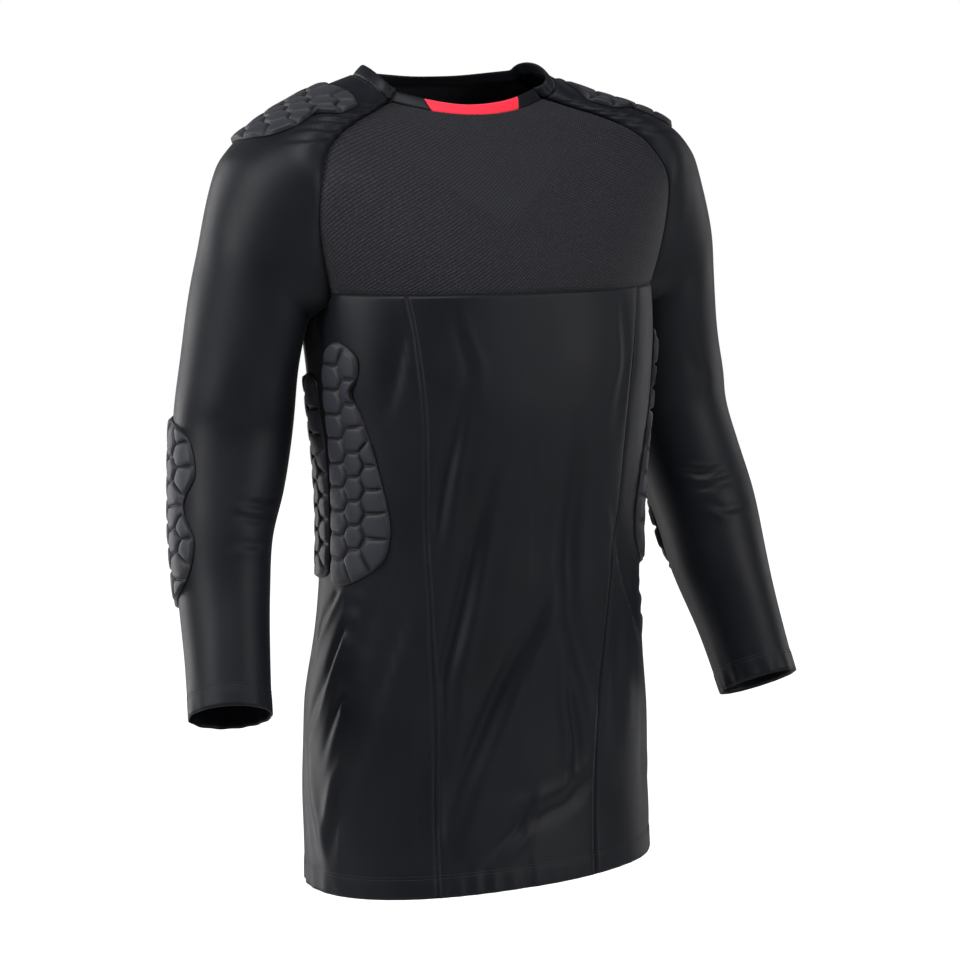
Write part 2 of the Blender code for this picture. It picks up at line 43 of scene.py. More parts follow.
# Body of the shirt, millimetres. Angle 0 is the front, growing to the wearer's left.
body = {
    "chestSeam": -200, "hem": -747, "hemLift": 19, "hemLowAngle": -68, "middleY": -52,
    "wall": 0.8, "settling": 18, "degree": 2.3, "runOut": 0.15,
    # height, half width, depth to the front, depth to the back, fullness
    "sections": ((-745, 169, 106, 112, 2.20), (-670, 168, 95, 133, 2.20), (-580, 165, 92, 128, 2.25),
                 (-485, 157, 96, 95, 2.30), (-415, 155, 99, 87, 2.35), (-350, 157, 104, 92, 2.45),
                 (-290, 162, 108, 102, 2.50), (-200, 168, 106, 116, 2.55)),
    # height, half the front panel, half the back panel, sideways twist
    "princess": ((-745, 79, 92, -12), (-600, 83, 92, -5), (-490, 91, 90, -2), (-415, 98, 92, 0),
                 (-300, 105, 98, 1), (-200, 118, 104, 1)),
    # the large folds that the solids have too: angle and height at each end, half width, depth
    "largeFolds": ((-41, -222, -52, -307, 9, 3.0), (-23, -303, -34, -422, 10, 3.0),
                   (-14, -393, -28, -547, 11, 3.5), (-28, -547, -29, -640, 11, 3.0),
                   (5, -487, -27, -678, 12, 3.5), (13, -355, 14, -492, 11, 2.5),
                   (14, -492, 24, -578, 10, 2.5), (-48, -452, -71, -621, 16, 5.0),
                   (34, -419, 59, -517, 11, 3.0), (150, -330, 172, -470, 13, 3.5),
                   (196, -350, 184, -500, 13, 3.5), (205, -520, 168, -660, 13, 3.5)),
}

yoke = {
    "chestLine": ((-200, -158), (-178, -153), (-150, -142), (-115, -122), (-85, -99), (-62, -74), (-44, -52)),
    "backLine": ((-200, 64), (-150, 71), (-110, 75), (-70, 74), (-40, 66), (-20, 52)),
    "dipFront": 12, "dipBack": 5, "rows": 60, "centreColumns": 72, "outerColumns": 12,
}

sleeve = {
    # raglan seam from the neck down: front seam, crest, back seam, half depth of the sleeve
    "raglan": ((79, -25, -32, 97, -8, -12, 82, 31, -16, 32),
               (103, -40, -41, 121, -2, -22, 105, 46, -27, 46),
               (126, -52, -49, 145, 1, -30, 127, 58, -43, 58),
               (149, -65, -60, 170, 4, -39, 145, 66, -65, 68),
               (167, -76, -77, 194, 5, -51, 155, 68, -93, 76),
               (178, -88, -104, 218, 5, -67, 159, 65, -124, 80),
               (177, -84, -146, 240, 2, -93, 155, 55, -165, 75),
               (163, -75, -200, 253, -2, -131, 141, 30, -200, 66),
               (167, -52, -221, 258, -4, -161, 155, 12, -220, 62),
               (166, -18, -231, 264, -6, -192, 166, -18, -231, 61)),
    "corner": 7, "underarm": 9,
    # centre, half width, half depth, below the underarm; -1 is the right arm, mirrored to the left here
    "arms": {
        -1: ((220, -5, -258, 52, 58), (224, -3, -295, 54, 57), (228, -3, -333, 54, 53),
             (237, -13, -375, 51, 50), (249, -27, -420, 45, 47), (255, -42, -470, 41, 44),
             (263, -66, -523, 38, 41), (271, -89, -573, 37, 38)),
        1: ((219, -7, -258, 51, 57), (226, -5, -295, 53, 56), (232, -7, -333, 52, 53),
            (242, -18, -375, 50, 50), (252, -33, -420, 49, 48), (258, -50, -470, 46, 46),
            (266, -74, -527, 39, 42), (273, -98, -583, 37, 38)),
    },
    "underarmRows": 24, "armRows": 120, "around": 110,
}
sleeve["cuff"] = sleeve["underarm"] + len(sleeve["arms"][1])
panel = {"rows": 180}


# smooth curve through knots, read at many places at once
def curveThrough(knots, values):
    knots, values = np.asarray(knots, float), np.asarray(values, float)
    slopes = np.gradient(values, knots, axis=0)

    def read(at):
        at = np.asarray(at, float)
        i = np.clip(np.searchsorted(knots, at, side="right") - 1, 0, len(knots) - 2)
        span = knots[i + 1] - knots[i]
        u = (at - knots[i]) / span
        if values.ndim > 1:
            u, span = u[..., None], span[..., None]
        return ((2 * u ** 3 - 3 * u ** 2 + 1) * values[i] + (u ** 3 - 2 * u ** 2 + u) * span * slopes[i]
                + (3 * u ** 2 - 2 * u ** 3) * values[i + 1] + (u ** 3 - u ** 2) * span * slopes[i + 1])
    return read


def tableCurve(table):
    rows = np.array(table, float)
    return curveThrough(rows[:, 0], rows[:, 1:])


def blend(a, b, share):
    return a + (b - a) * share


def unit(v):
    return v / np.maximum(np.linalg.norm(v, axis=-1, keepdims=True), 1e-9)


def ease(x):
    x = np.clip(x, 0, 1)
    return x * x * (3 - 2 * x)


sectionAt = tableCurve(body["sections"])
princessAt = tableCurve(body["princess"])


def largeFold(angle, z):
    total = np.zeros(np.broadcast(angle, z).shape)
    turned = np.degrees(angle) % 360
    for angleA, zA, angleB, zB, halfWidth, depth in body["largeFolds"]:
        across = ((turned - angleA + 180) % 360 - 180) * body["degree"]
        runX, runZ = (angleB - angleA) * body["degree"], zB - zA
        share = (across * runX + (z - zA) * runZ) / (runX ** 2 + runZ ** 2)
        held = np.clip(share, 0, 1)
        off = (across - runX * held) ** 2 + (z - zA - runZ * held) ** 2
        taper = np.sin(pi * np.clip((share + body["runOut"]) / (1 + 2 * body["runOut"]), 0, 1))
        total += depth * taper * np.exp(-off / (2 * halfWidth ** 2))
    return total


def torsoPoint(angle, z):
    angle, z = np.broadcast_arrays(np.asarray(angle, float), np.asarray(z, float))
    width, front, back, fullness = np.moveaxis(sectionAt(z), -1, 0)
    s, c = np.sin(angle), np.cos(angle)
    x = width * np.sign(s) * np.abs(s) ** (2 / fullness)
    y = -np.where(c > 0, front, back) * np.sign(c) * np.abs(c) ** (2 / fullness)
    shrink = 1 - largeFold(angle, z) / np.hypot(x, y)
    return np.stack((x * shrink, body["middleY"] + y * shrink, z), axis=-1)


def torsoAngleAt(x, z, back=False):
    width, _, _, fullness = np.moveaxis(sectionAt(z), -1, 0)
    angle = np.sign(x) * np.arcsin(np.minimum(np.abs(x) / width, 1) ** (fullness / 2))
    return pi - angle if back else angle


def torsoAngleOf(points):
    x, y, z = np.moveaxis(np.asarray(points, float), -1, 0)
    width, front, back, fullness = np.moveaxis(sectionAt(z), -1, 0)
    ahead = body["middleY"] - y
    s = np.sign(x) * (np.abs(x) / width) ** (fullness / 2)
    c = np.sign(ahead) * (np.abs(ahead) / np.where(ahead > 0, front, back)) ** (fullness / 2)
    return np.arctan2(s, c)


def princessAngles(z):
    frontHalf, backHalf, twist = np.moveaxis(princessAt(z), -1, 0)
    return (torsoAngleAt(twist - frontHalf, z), torsoAngleAt(twist + frontHalf, z),
            torsoAngleAt(twist + backHalf, z, True), torsoAngleAt(twist - backHalf, z, True))


def hemHeight(angle):
    return body["hem"] + body["hemLift"] * (1 - np.cos(angle - radians(body["hemLowAngle"]))) / 2


def sleeveFrames(arm):
    frames = []
    for row in sleeve["raglan"]:
        front, crest, back = (np.array(row[k:k + 3], float) for k in (0, 3, 6))
        middle, halfGap = (front + back) / 2, np.linalg.norm(front - back) / 2
        reach = acos(min(halfGap / row[9], 1))
        height = np.linalg.norm(crest - middle)
        halfHeight = height / (1 + sin(reach))
        lift = unit(crest - middle)
        ahead = unit(front - back) if halfGap > 1 else np.array((0, -1, 0))
        frames.append(np.concatenate((middle + lift * (height - halfHeight), ahead * row[9],
                                      lift * halfHeight, (reach,))))
    centres = [frames[-1][:3]] + [np.array(row[:3], float) for row in arm]
    for i, (x, y, z, halfWidth, halfDepth) in enumerate(arm, 1):
        down = unit(centres[min(i + 1, len(arm))] - centres[i - 1])
        ahead = unit(np.cross(down, (1, 0, 0)))
        lift = unit(np.cross(ahead, down))
        frames.append(np.concatenate(((x, y, z), ahead * halfDepth, lift * halfWidth, (pi / 2,))))
    return np.array(frames)


frameAt = {side: curveThrough(range(sleeve["cuff"] + 1), sleeveFrames(arm))
           for side, arm in sleeve["arms"].items()}


# turn 0 is the front seam, 0.5 the crest and 1 the back seam; always on the wearer's left
def sleevePoint(station, turn, side=1):
    station, turn = np.broadcast_arrays(np.asarray(station, float), np.asarray(turn, float))
    at = frameAt[side](station)
    reach = np.where(station >= sleeve["underarm"], pi / 2, np.clip(at[..., 9], 0, pi / 2))
    angle = (-reach + (pi + 2 * reach) * turn)[..., None]
    return at[..., :3] + at[..., 3:6] * np.cos(angle) + at[..., 6:9] * np.sin(angle)


def sleeveMeasures(side, step=0.2, turns=24):
    stations = np.arange(0, sleeve["cuff"] + step / 2, step)
    rings = sleevePoint(stations[:, None], np.linspace(0, 1, turns + 1)[None], side)
    girths = np.linalg.norm(np.diff(rings, axis=1), axis=2).sum(axis=1)
    steps = np.linalg.norm(np.diff(rings[:, turns // 2], axis=0), axis=1)
    return stations, np.concatenate(((0,), np.cumsum(steps))), girths


measures = {side: sleeveMeasures(side) for side in (1, -1)}
chestAt, backAt = tableCurve(yoke["chestLine"]), tableCurve(yoke["backLine"])


def yokePoint(share, station, back=False):
    corner = sleeve["raglan"][sleeve["corner"]]
    cornerX = corner[6] if back else corner[0]
    zSeam = float(body["chestSeam"])
    at = [torsoPoint(torsoAngleAt(cornerX * np.asarray(k, float), zSeam, back), zSeam)[..., 1]
          for k in (share, 1, 0)]
    profile = (at[0] - at[1]) / (at[2] - at[1])
    seam = sleevePoint(station, 1 if back else 0)
    upness = 1 - station / sleeve["corner"]
    bulge = blend(profile, 1 - share ** 2, upness ** 1.5)
    centreZ = seam[..., 2] - (yoke["dipBack"] if back else yoke["dipFront"]) * upness ** 2
    centreY = (backAt if back else chestAt)(centreZ)[..., 0]
    return np.stack((seam[..., 0] * share, blend(seam[..., 1], centreY, bulge),
                     blend(seam[..., 2], centreZ, 1 - share ** 2)), axis=-1)


def yokeShares(back=False):
    cornerX = sleeve["raglan"][sleeve["corner"]][6 if back else 0]
    zSeam = float(body["chestSeam"])
    angles = princessAngles(zSeam)
    right, left = (float(torsoPoint(angles[k], zSeam)[0]) / cornerX for k in ((3, 2) if back else (0, 1)))
    return np.concatenate((np.linspace(-1, right, yoke["outerColumns"] + 1)[:-1],
                           np.linspace(right, left, yoke["centreColumns"] + 1),
                           np.linspace(left, 1, yoke["outerColumns"] + 1)[1:]))


def yokeGrid(back=False):
    stations = np.linspace(0, sleeve["corner"], yoke["rows"] + 1)
    grid = yokePoint(yokeShares(back)[None], stations[:, None], back)
    return grid[:, ::-1] if back else grid


def hang(top, first, last):
    turns = np.unwrap(torsoAngleOf(top))
    spans = (turns - turns[0]) / (turns[-1] - turns[0])

    def angles(level):
        a, b = float(first(level)), float(last(level))
        b += 2 * pi * round((turns[-1] - turns[0] - (b - a)) / (2 * pi))
        return a + (b - a) * spans

    slips = top - torsoPoint(angles(float(body["chestSeam"])), top[:, 2])
    rows, turned = [], []
    for depth in np.linspace(0, 1, panel["rows"] + 1):
        angle = angles(float(blend(body["chestSeam"], body["hem"], depth)))
        z = blend(top[:, 2], hemHeight(angle), depth)
        rows.append(torsoPoint(angle, z) + slips * (1 - depth) ** body["settling"])
        turned.append(angle)
    return np.array(rows), np.array(turned)


def seamAngle(number):
    return lambda z: princessAngles(z)[number]


def sidePanelGrid(side):
    outer = yoke["outerColumns"]
    stations = np.linspace(sleeve["corner"], sleeve["underarm"], sleeve["underarmRows"] + 1)
    frontSeam, backSeam = sleevePoint(stations, 0.0), sleevePoint(stations, 1.0)
    frontYoke, backYoke = yokeGrid()[-1], yokeGrid(True)[-1]
    if side > 0:
        top = np.concatenate((frontYoke[-outer - 1:], frontSeam[1:], backSeam[-2::-1], backYoke[1:outer + 1]))
        return hang(top, seamAngle(1), seamAngle(2))
    mirror = (-1, 1, 1)
    top = np.concatenate((backYoke[-outer - 1:], backSeam[1:] * mirror, frontSeam[-2::-1] * mirror,
                          frontYoke[1:outer + 1]))
    return hang(top, seamAngle(3), seamAngle(0))


def sleeveStations():
    return np.concatenate((np.linspace(0, sleeve["corner"], yoke["rows"] + 1),
                           np.linspace(sleeve["corner"], sleeve["underarm"], sleeve["underarmRows"] + 1)[1:],
                           np.linspace(sleeve["underarm"], sleeve["cuff"], sleeve["armRows"] + 1)[1:]))


# Pads: outlines as distance to the front and height, or length along the sleeve
pads = {
    "cell": 22, "film": 1.6, "rise": 3.2, "foot": -0.2, "sideRadius": 112,
    "elbow": 473, "elbowTurn": {1: 0.70, -1: 0.64}, "margin": 5.0, "shoulderMargin": 2.0,
    # each cell: rings from its border to near its middle, steps along a side, then shares of its size or height
    "rings": (1.0, 0.955, 0.90, 0.84, 0.76, 0.62, 0.40, 0.18), "sideSteps": 5, "groove": 0.24, "round": 0.28,
    "roundTo": 1.02, "shoulderOf": 0.86, "dome": 0.28, "crown": 1.14,
    "ribFront": ((46, -254), (47, -272), (38, -289), (48, -306), (60, -343), (72, -390), (75, -415),
                 (69, -438), (48, -455), (20, -465), (8, -455), (7, -390), (6, -330), (4, -290), (8, -258),
                 (24, -243)),
    "ribBack": ((0, -286), (-20, -276), (-44, -286), (-58, -320), (-62, -380), (-56, -435), (-34, -461),
                (-6, -460), (2, -450), (2, -390), (0, -330), (-3, -295)),
    "shoulder": ((10, 24), (34, 34), (44, 58), (36, 74), (40, 86), (46, 102), (40, 122), (16, 132),
                 (-16, 132), (-40, 122), (-46, 102), (-40, 86), (-44, 60), (-34, 34), (-10, 24)),
    "elbowOutline": ((30, -77), (64, -62), (72, -25), (56, 4), (64, 38), (46, 74), (0, 86), (-46, 74),
                     (-64, 38), (-56, 4), (-72, -25), (-64, -62), (-30, -77), (0, -82)),
}
pads["elbowPad"] = tuple((p, q + pads["elbow"]) for p, q in pads["elbowOutline"])


def closedCurve(corners, steps=8):
    corners = np.array(corners, float)
    a, b, c, d = (np.roll(corners, -n, axis=0)[:, None] for n in (-1, 0, 1, 2))
    u = (np.arange(steps) / steps)[None, :, None]
    line = 0.5 * (2 * b + (c - a) * u + (2 * a - 5 * b + 4 * c - d) * u ** 2
                  + (3 * b - a - 3 * c + d) * u ** 3)
    return line.reshape(-1, 2)


def insideOf(line, points):
    x, y = points[..., 0], points[..., 1]
    crossings = np.zeros(x.shape, int)
    for a, b in zip(line, np.roll(line, -1, axis=0)):
        if a[1] != b[1]:
            spans = (a[1] > y) != (b[1] > y)
            crossings += spans & (x < a[0] + (y - a[1]) * (b[0] - a[0]) / (b[1] - a[1]))
    return crossings % 2 == 1


# 1 well away from a pad, 0 under it and for a few millimetres round it
def clearOf(outline, points, margin=pads["margin"]):
    line = closedCurve(outline)
    near = np.full(points.shape[:-1], 1e9)
    for corner in line:
        near = np.minimum(near, np.hypot(points[..., 0] - corner[0], points[..., 1] - corner[1]))
    return np.where(insideOf(line, points), 0, ease((near - 2) / margin))


# Creases, listed one by one: points as angle and height on the body, half width, depth, side of the ridge
bodyCreases = (
    (((-41, -227), (-47, -268), (-52, -307)), 4.0, 2.6, 1),
    (((-37, -208), (-36, -250), (-35, -300)), 4.0, 2.0, -1),
    (((-23, -303), (-27, -350), (-34, -432)), 6.0, 4.2, 1),
    (((-14, -385), (-22, -480), (-28, -547), (-28, -620)), 7.0, 4.8, 1),
    (((5, -480), (-8, -560), (-20, -640), (-27, -690)), 7.5, 5.2, 1),
    (((13, -345), (13, -420), (14, -492), (24, -588)), 8.0, 3.8, -1),
    (((13, -545), (16, -610), (16, -660)), 4.6, 3.2, -1),
    (((1, -655), (-4, -690), (-13, -716)), 4.6, 2.4, 1),
    (((34, -412), (45, -470), (59, -525)), 6.0, 4.4, -1),
    (((40, -500), (36, -560), (34, -620)), 8.0, 3.4, 1),
    (((26, -640), (12, -668), (-4, -690)), 7.5, 2.8, -1),
    (((-80, -462), (-94, -504), (-108, -552)), 4.6, 2.8, 1),
    (((-67, -468), (-83, -530), (-100, -606)), 5.0, 3.4, 1),
    (((-55, -452), (-66, -520), (-84, -610)), 5.4, 3.8, 1),
    (((-44, -470), (-52, -540), (-62, -600)), 4.6, 2.4, -1),
    (((-60, -600), (-72, -650), (-80, -712)), 8.0, 3.0, -1),
    (((-34, -590), (-36, -660), (-33, -728)), 5.5, 2.8, 1),
    (((-104, -610), (-98, -670), (-88, -730)), 8.0, 2.8, 1),
    (((-22, -218), (-19, -262), (-20, -300)), 5.0, 1.4, 1),
    (((30, -214), (33, -270), (30, -330)), 6.0, 1.4, -1),
    (((82, -468), (94, -500), (106, -524)), 4.0, 3.2, -1),
    (((66, -470), (80, -520), (97, -580)), 4.4, 3.4, -1),
    (((60, -560), (58, -640), (66, -716)), 7.0, 2.8, 1),
    (((118, -455), (133, -505), (152, -548)), 5.0, 3.4, 1),
    (((-118, -452), (-135, -500), (-157, -540)), 5.0, 3.4, -1),
    (((140, -400), (160, -440), (178, -462)), 5.5, 3.2, 1),
    (((-142, -410), (-160, -452), (-176, -480)), 5.5, 3.0, -1),
    (((150, -330), (160, -400), (172, -470)), 6.0, 2.8, 1),
    (((196, -350), (190, -430), (184, -500)), 6.0, 2.8, -1),
    (((150, -560), (146, -640), (152, -715)), 8.0, 3.0, 1),
    (((-150, -570), (-158, -640), (-150, -720)), 8.0, 3.0, -1),
    (((178, -590), (184, -660), (180, -722)), 7.0, 2.6, 1),
)
# The same on a sleeve: millimetres in front of the crest, and length from the neck
sleeveCreases = (
    (((17, 78), (34, 52), (50, 36)), 2.0, 1.6, 1),
    (((24, 84), (46, 62), (62, 46)), 2.3, 3.2, 1),
    (((40, 92), (56, 72), (72, 54)), 2.4, 3.2, 1),
    (((50, 106), (66, 86), (82, 66)), 2.7, 2.8, 1),
    (((58, 122), (72, 104), (88, 84)), 3.0, 1.6, 1),
    (((26, 40), (38, 26), (46, 16)), 1.8, 1.5, -1),
    (((32, 54), (44, 38), (54, 26)), 1.8, 1.3, 1),
    (((-34, 78), (-48, 56), (-60, 42)), 2.4, 2.0, -1),
    (((-46, 100), (-62, 78), (-76, 60)), 2.8, 2.0, 1),
    (((116, 462), (98, 470), (76, 474)), 3.4, 2.6, 1),
    (((108, 482), (90, 487), (66, 486)), 3.4, 2.8, 1),
    (((-118, 470), (-108, 482), (-96, 490)), 4.0, 1.8, -1),
    (((98, 506), (84, 513), (60, 515)), 4.0, 1.8, -1),
    (((92, 330), (84, 362), (88, 398)), 8.0, 1.2, 1),
)
ripples = np.random.default_rng(11)
# strength, length in millimetres, heading, phase
waves = [(ripples.uniform(0.55, 1.0), ripples.uniform(38, 110), ripples.uniform(0, pi),
          ripples.uniform(0, 2 * pi)) for _ in range(9)]


# soft waviness of stretched cloth, in millimetres
wavy = {"slant": 0.6, "height": 0.14, "start": 90, "yoke": (0.5, 0.6), "sleeve": 0.5}


def waviness(across, down):
    total = 0
    for strength, length, heading, phase in waves:
        run = across * cos(heading) + down * wavy["slant"] * sin(heading)
        total = total + strength * np.sin(2 * pi * run / length + phase)
    return total * wavy["height"]


# a crease runs on past its ends, wanders a little, and throws up a ridge on one side
creaseShape = {"runOn": 0.4, "wander": 0.9, "bends": 7, "apart": 2.1, "lead": 0.2, "taper": 1.4,
               "start": 0.8, "widen": 0.5, "ridge": 0.6, "ridgeAt": 1.7, "ridgeWidth": 0.95}


# height change from one crease at points given in millimetres
def creaseRelief(path, halfWidth, depth, ridgeSide, across, down, number):
    shape, path = creaseShape, np.array(path, float)
    lengths = np.concatenate(((0,), np.cumsum(np.linalg.norm(np.diff(path, axis=0), axis=1))))
    best = np.full(across.shape, 1e9)
    offset, share = np.zeros(across.shape), np.zeros(across.shape)
    for k in range(len(path) - 1):
        run = path[k + 1] - path[k]
        size = np.hypot(*run)
        t = ((across - path[k, 0]) * run[0] + (down - path[k, 1]) * run[1]) / size ** 2
        low = -shape["runOn"] if k == 0 else 0
        high = 1 + shape["runOn"] if k == len(path) - 2 else 1
        held = np.clip(t, low, high)
        dx, dy = across - path[k, 0] - run[0] * held, down - path[k, 1] - run[1] * held
        far = np.hypot(dx, dy)
        closer = far < best
        best = np.where(closer, far, best)
        offset = np.where(closer, far * np.sign(run[0] * dy - run[1] * dx), offset)
        share = np.where(closer, (lengths[k] + held * size) / lengths[-1], share)
    offset = offset + shape["wander"] * np.sin(share * shape["bends"] + number * shape["apart"])
    along = np.clip((share + shape["lead"]) / (1 + 2 * shape["lead"]), 0, 1)
    taper = np.clip(np.sin(pi * along), 0, 1) ** shape["taper"]
    wide = halfWidth * (shape["start"] + shape["widen"] * share)
    ridge = (offset - ridgeSide * shape["ridgeAt"] * wide) / (shape["ridgeWidth"] * wide)
    return depth * taper * (-np.exp(-(offset / wide) ** 2) + shape["ridge"] * np.exp(-ridge ** 2))


def bodyRelief(angle, z):
    degrees = np.degrees(angle)
    total = np.zeros(angle.shape)
    for number, (path, halfWidth, depth, ridge) in enumerate(bodyCreases):
        path = np.array(path, float)
        centre = path[:, 0].mean()
        across = ((degrees - centre + 180) % 360 - 180) * body["degree"]
        path = np.stack(((path[:, 0] - centre) * body["degree"], path[:, 1]), axis=1)
        total += creaseRelief(path, halfWidth, depth, ridge, across, z, number)
    total += waviness((degrees % 360) * body["degree"], z) * ease((body["chestSeam"] - z) / wavy["start"])
    halfRound = pi * pads["sideRadius"]
    for side in (1, -1):
        across = (pi / 2 - side * ((angle + pi) % (2 * pi) - pi)) * pads["sideRadius"]
        place = np.stack(((across + halfRound) % (2 * halfRound) - halfRound, z), axis=-1)
        total *= clearOf(pads["ribFront"], place) * clearOf(pads["ribBack"], place)
    return total


def sleeveRelief(station, turn, side):
    stations, lengths, girths = measures[side]
    q = np.interp(station, stations, lengths)
    girth = np.interp(station, stations, girths)
    p = (0.5 - turn) * girth
    total = np.zeros(p.shape)
    for number, (path, halfWidth, depth, ridge) in enumerate(sleeveCreases):
        total += creaseRelief(path, halfWidth, depth, ridge, p, q, number + (5 if side > 0 else 0))
    total += wavy["sleeve"] * waviness(120 * np.sin(2 * pi * turn) + 40 * side, q)
    for lap in (0, 1):
        beside = np.stack(((pads["elbowTurn"][side] - turn - lap) * girth, q), axis=-1)
        total = total * clearOf(pads["elbowPad"], beside)
    return total * clearOf(pads["shoulder"], np.stack((p, q), axis=-1), pads["shoulderMargin"])


def gridNormals(grid, closedFrom=None):
    down = np.gradient(grid, axis=0)
    across = np.gradient(grid, axis=1)
    if closedFrom is not None:
        wrap = grid[closedFrom:, 1] - grid[closedFrom:, -2]
        across[closedFrom:, 0] = across[closedFrom:, -1] = wrap / 2
    return unit(np.cross(down, across))


def edgeDistances(grid):
    steps = [np.linalg.norm(np.diff(grid, axis=axis), axis=2) for axis in (1, 0)]
    across = np.concatenate((np.zeros((len(grid), 1)), np.cumsum(steps[0], 1)), 1)
    down = np.concatenate((np.zeros((1, grid.shape[1])), np.cumsum(steps[1], 0)))
    return across, down


# Seams, and turned hems and cuffs: millimetres
seamLook = {"fade": 9, "tuck": 0.7, "tuckWidth": 2.0, "ruck": 0.22, "ruckLength": 2.6, "ruckSlant": 9,
            "ruckReach": 5}
hemLook = {"turned": 19, "step": 0.45, "groove": 0.55, "grooveWidth": 1.3, "pucker": 0.9, "puckerReach": 17,
           "puckerLength": 2.9, "sway": 2.2, "swayLength": 31, "least": 0.6, "more": 0.4, "moreLength": 47,
           "stitched": (17.6, 20.4)}


# a panel's outer points with its creases, the tuck along its seams and its turned hem
def dressed(grid, relief, hemmed=False, closedFrom=None):
    across, down = edgeDistances(grid)
    left, right = across, across[:, -1:] - across
    if closedFrom is not None:
        far = np.zeros(grid.shape[:2])
        far[closedFrom:] = 99
        left, right = left + far, right + far
    below = down[-1:] - down
    nearest = np.minimum(np.minimum(left, right), down)
    shift = relief * ease(nearest / seamLook["fade"])
    shift -= seamLook["tuck"] * np.exp(-(nearest / seamLook["tuckWidth"]) ** 2)
    ruck = np.sin(down / seamLook["ruckLength"] + across / seamLook["ruckSlant"]) * ease(nearest / 2)
    shift += seamLook["ruck"] * ruck * np.exp(-(nearest / seamLook["ruckReach"]) ** 2)
    if hemmed:
        shift += hemLook["step"] * ease((hemLook["turned"] + 1.2 - below) / 1.6)
        shift -= hemLook["groove"] * np.exp(-((below - hemLook["turned"]) / hemLook["grooveWidth"]) ** 2)
        swaying = hemLook["sway"] * np.sin(across / hemLook["swayLength"])
        pucker = np.sin(across / hemLook["puckerLength"] + swaying)
        strength = hemLook["least"] + hemLook["more"] * np.sin(across / hemLook["moreLength"] + 1)
        pucker *= strength * ease(nearest / 6)
        shift += hemLook["pucker"] * pucker * np.exp(-(below / hemLook["puckerReach"]) ** 2)
    return grid + gridNormals(grid, closedFrom) * shift[..., None]


# evens out the sleeve along its length where the raglan ends, away from its seams
evening = {"rounds": 90, "from": 5.6, "to": 11.7, "fade": 1.2, "seamClear": 5, "seamFade": 28}


def evened(grid, stations, seams):
    near = np.full(grid.shape[:2], 1e9)
    for point in seams:
        near = np.minimum(near, np.linalg.norm(grid - point, axis=-1))
    held = (ease((near - evening["seamClear"]) / evening["seamFade"])
            * ease((stations - evening["from"]) / evening["fade"])
            * ease((evening["to"] - stations) / evening["fade"]))
    for _ in range(evening["rounds"]):
        middle = grid.copy()
        middle[1:-1] = (grid[:-2] + 2 * grid[1:-1] + grid[2:]) / 4
        grid = blend(grid, middle, held[..., None])
    return grid


# where two panels share a seam point before they are dressed, they share it afterwards too
def joinSeams(plain, finished):
    shared = {}
    for name, grid in plain.items():
        rows, columns = grid.shape[:2]
        rim = {(i, j) for i in range(rows) for j in (0, columns - 1)}
        rim |= {(i, j) for i in (0, rows - 1) for j in range(columns)}
        for i, j in rim:
            shared.setdefault(tuple(np.round(grid[i, j], 1)), []).append((name, i, j))
    for group in shared.values():
        if len({name for name, _, _ in group}) > 1:
            middle = np.mean([finished[name][i, j] for name, i, j in group], axis=0)
            for name, i, j in group:
                finished[name][i, j] = middle


def newObject(name, points, faces, material, uv=None):
    mesh = bpy.data.meshes.new(name)
    mesh.from_pydata((np.asarray(points) * mm).tolist(), [], [list(f) for f in faces])
    if uv is not None:
        corners = np.array([loop.vertex_index for loop in mesh.loops])
        mesh.uv_layers.new(name="cloth").data.foreach_set("uv", (np.asarray(uv)[corners] * mm).ravel())
    mesh.shade_smooth()
    mesh.materials.append(material)
    return linked(name, mesh)


def linked(name, data):
    piece = bpy.data.objects.new(name, data)
    bpy.context.scene.collection.objects.link(piece)
    return piece


# loose points go, or else points closer than merge join and the faces turn outwards
def cleaned(piece, merge=0.0, looseOnly=False):
    work = bmesh.new()
    work.from_mesh(piece.data)
    if looseOnly:
        bmesh.ops.delete(work, geom=[v for v in work.verts if not v.link_faces], context="VERTS")
    else:
        if merge:
            bmesh.ops.remove_doubles(work, verts=work.verts, dist=merge * mm)
        bmesh.ops.recalc_face_normals(work, faces=work.faces)
    work.to_mesh(piece.data)
    work.free()
    return piece


panels = {}


# a thin closed shell under a grid of outer points, with rounded-over rims
def clothShell(name, grid, material, closedFrom=None):
    rows, columns = grid.shape[:2]
    normals = gridNormals(grid, closedFrom)
    if closedFrom is not None:
        grid[closedFrom:, -1] = grid[closedFrom:, 0]
    panels[name] = (grid, normals)
    across, down = edgeDistances(grid)
    outer, inner = grid.reshape(-1, 3), (grid - normals * body["wall"]).reshape(-1, 3)
    uv = np.stack((across - across.mean(axis=1, keepdims=True), down), axis=-1).reshape(-1, 2)
    count = rows * columns

    def at(i, j):
        return i * columns + (0 if closedFrom is not None and i >= closedFrom and j == columns - 1 else j)
    faces = [list(dict.fromkeys((at(i, j), at(i + 1, j), at(i + 1, j + 1), at(i, j + 1))))
             for i in range(rows - 1) for j in range(columns - 1)]
    edges = dict.fromkeys((a, b) for face in faces for a, b in zip(face, face[1:] + face[:1]))
    shell = (faces + [[k + count for k in reversed(face)] for face in faces]
             + [[b, a, a + count, b + count] for a, b in edges if (b, a) not in edges])
    piece = newObject(name, np.concatenate((outer, inner)), shell, material, np.concatenate((uv, uv)))
    return cleaned(piece, looseOnly=True)


# Colours and materials

def linear(hexColour):
    parts = [int(hexColour[k:k + 2], 16) / 255 for k in (1, 3, 5)]
    return tuple(c / 12.92 if c <= 0.04045 else ((c + 0.055) / 1.055) ** 2.4 for c in parts) + (1,)


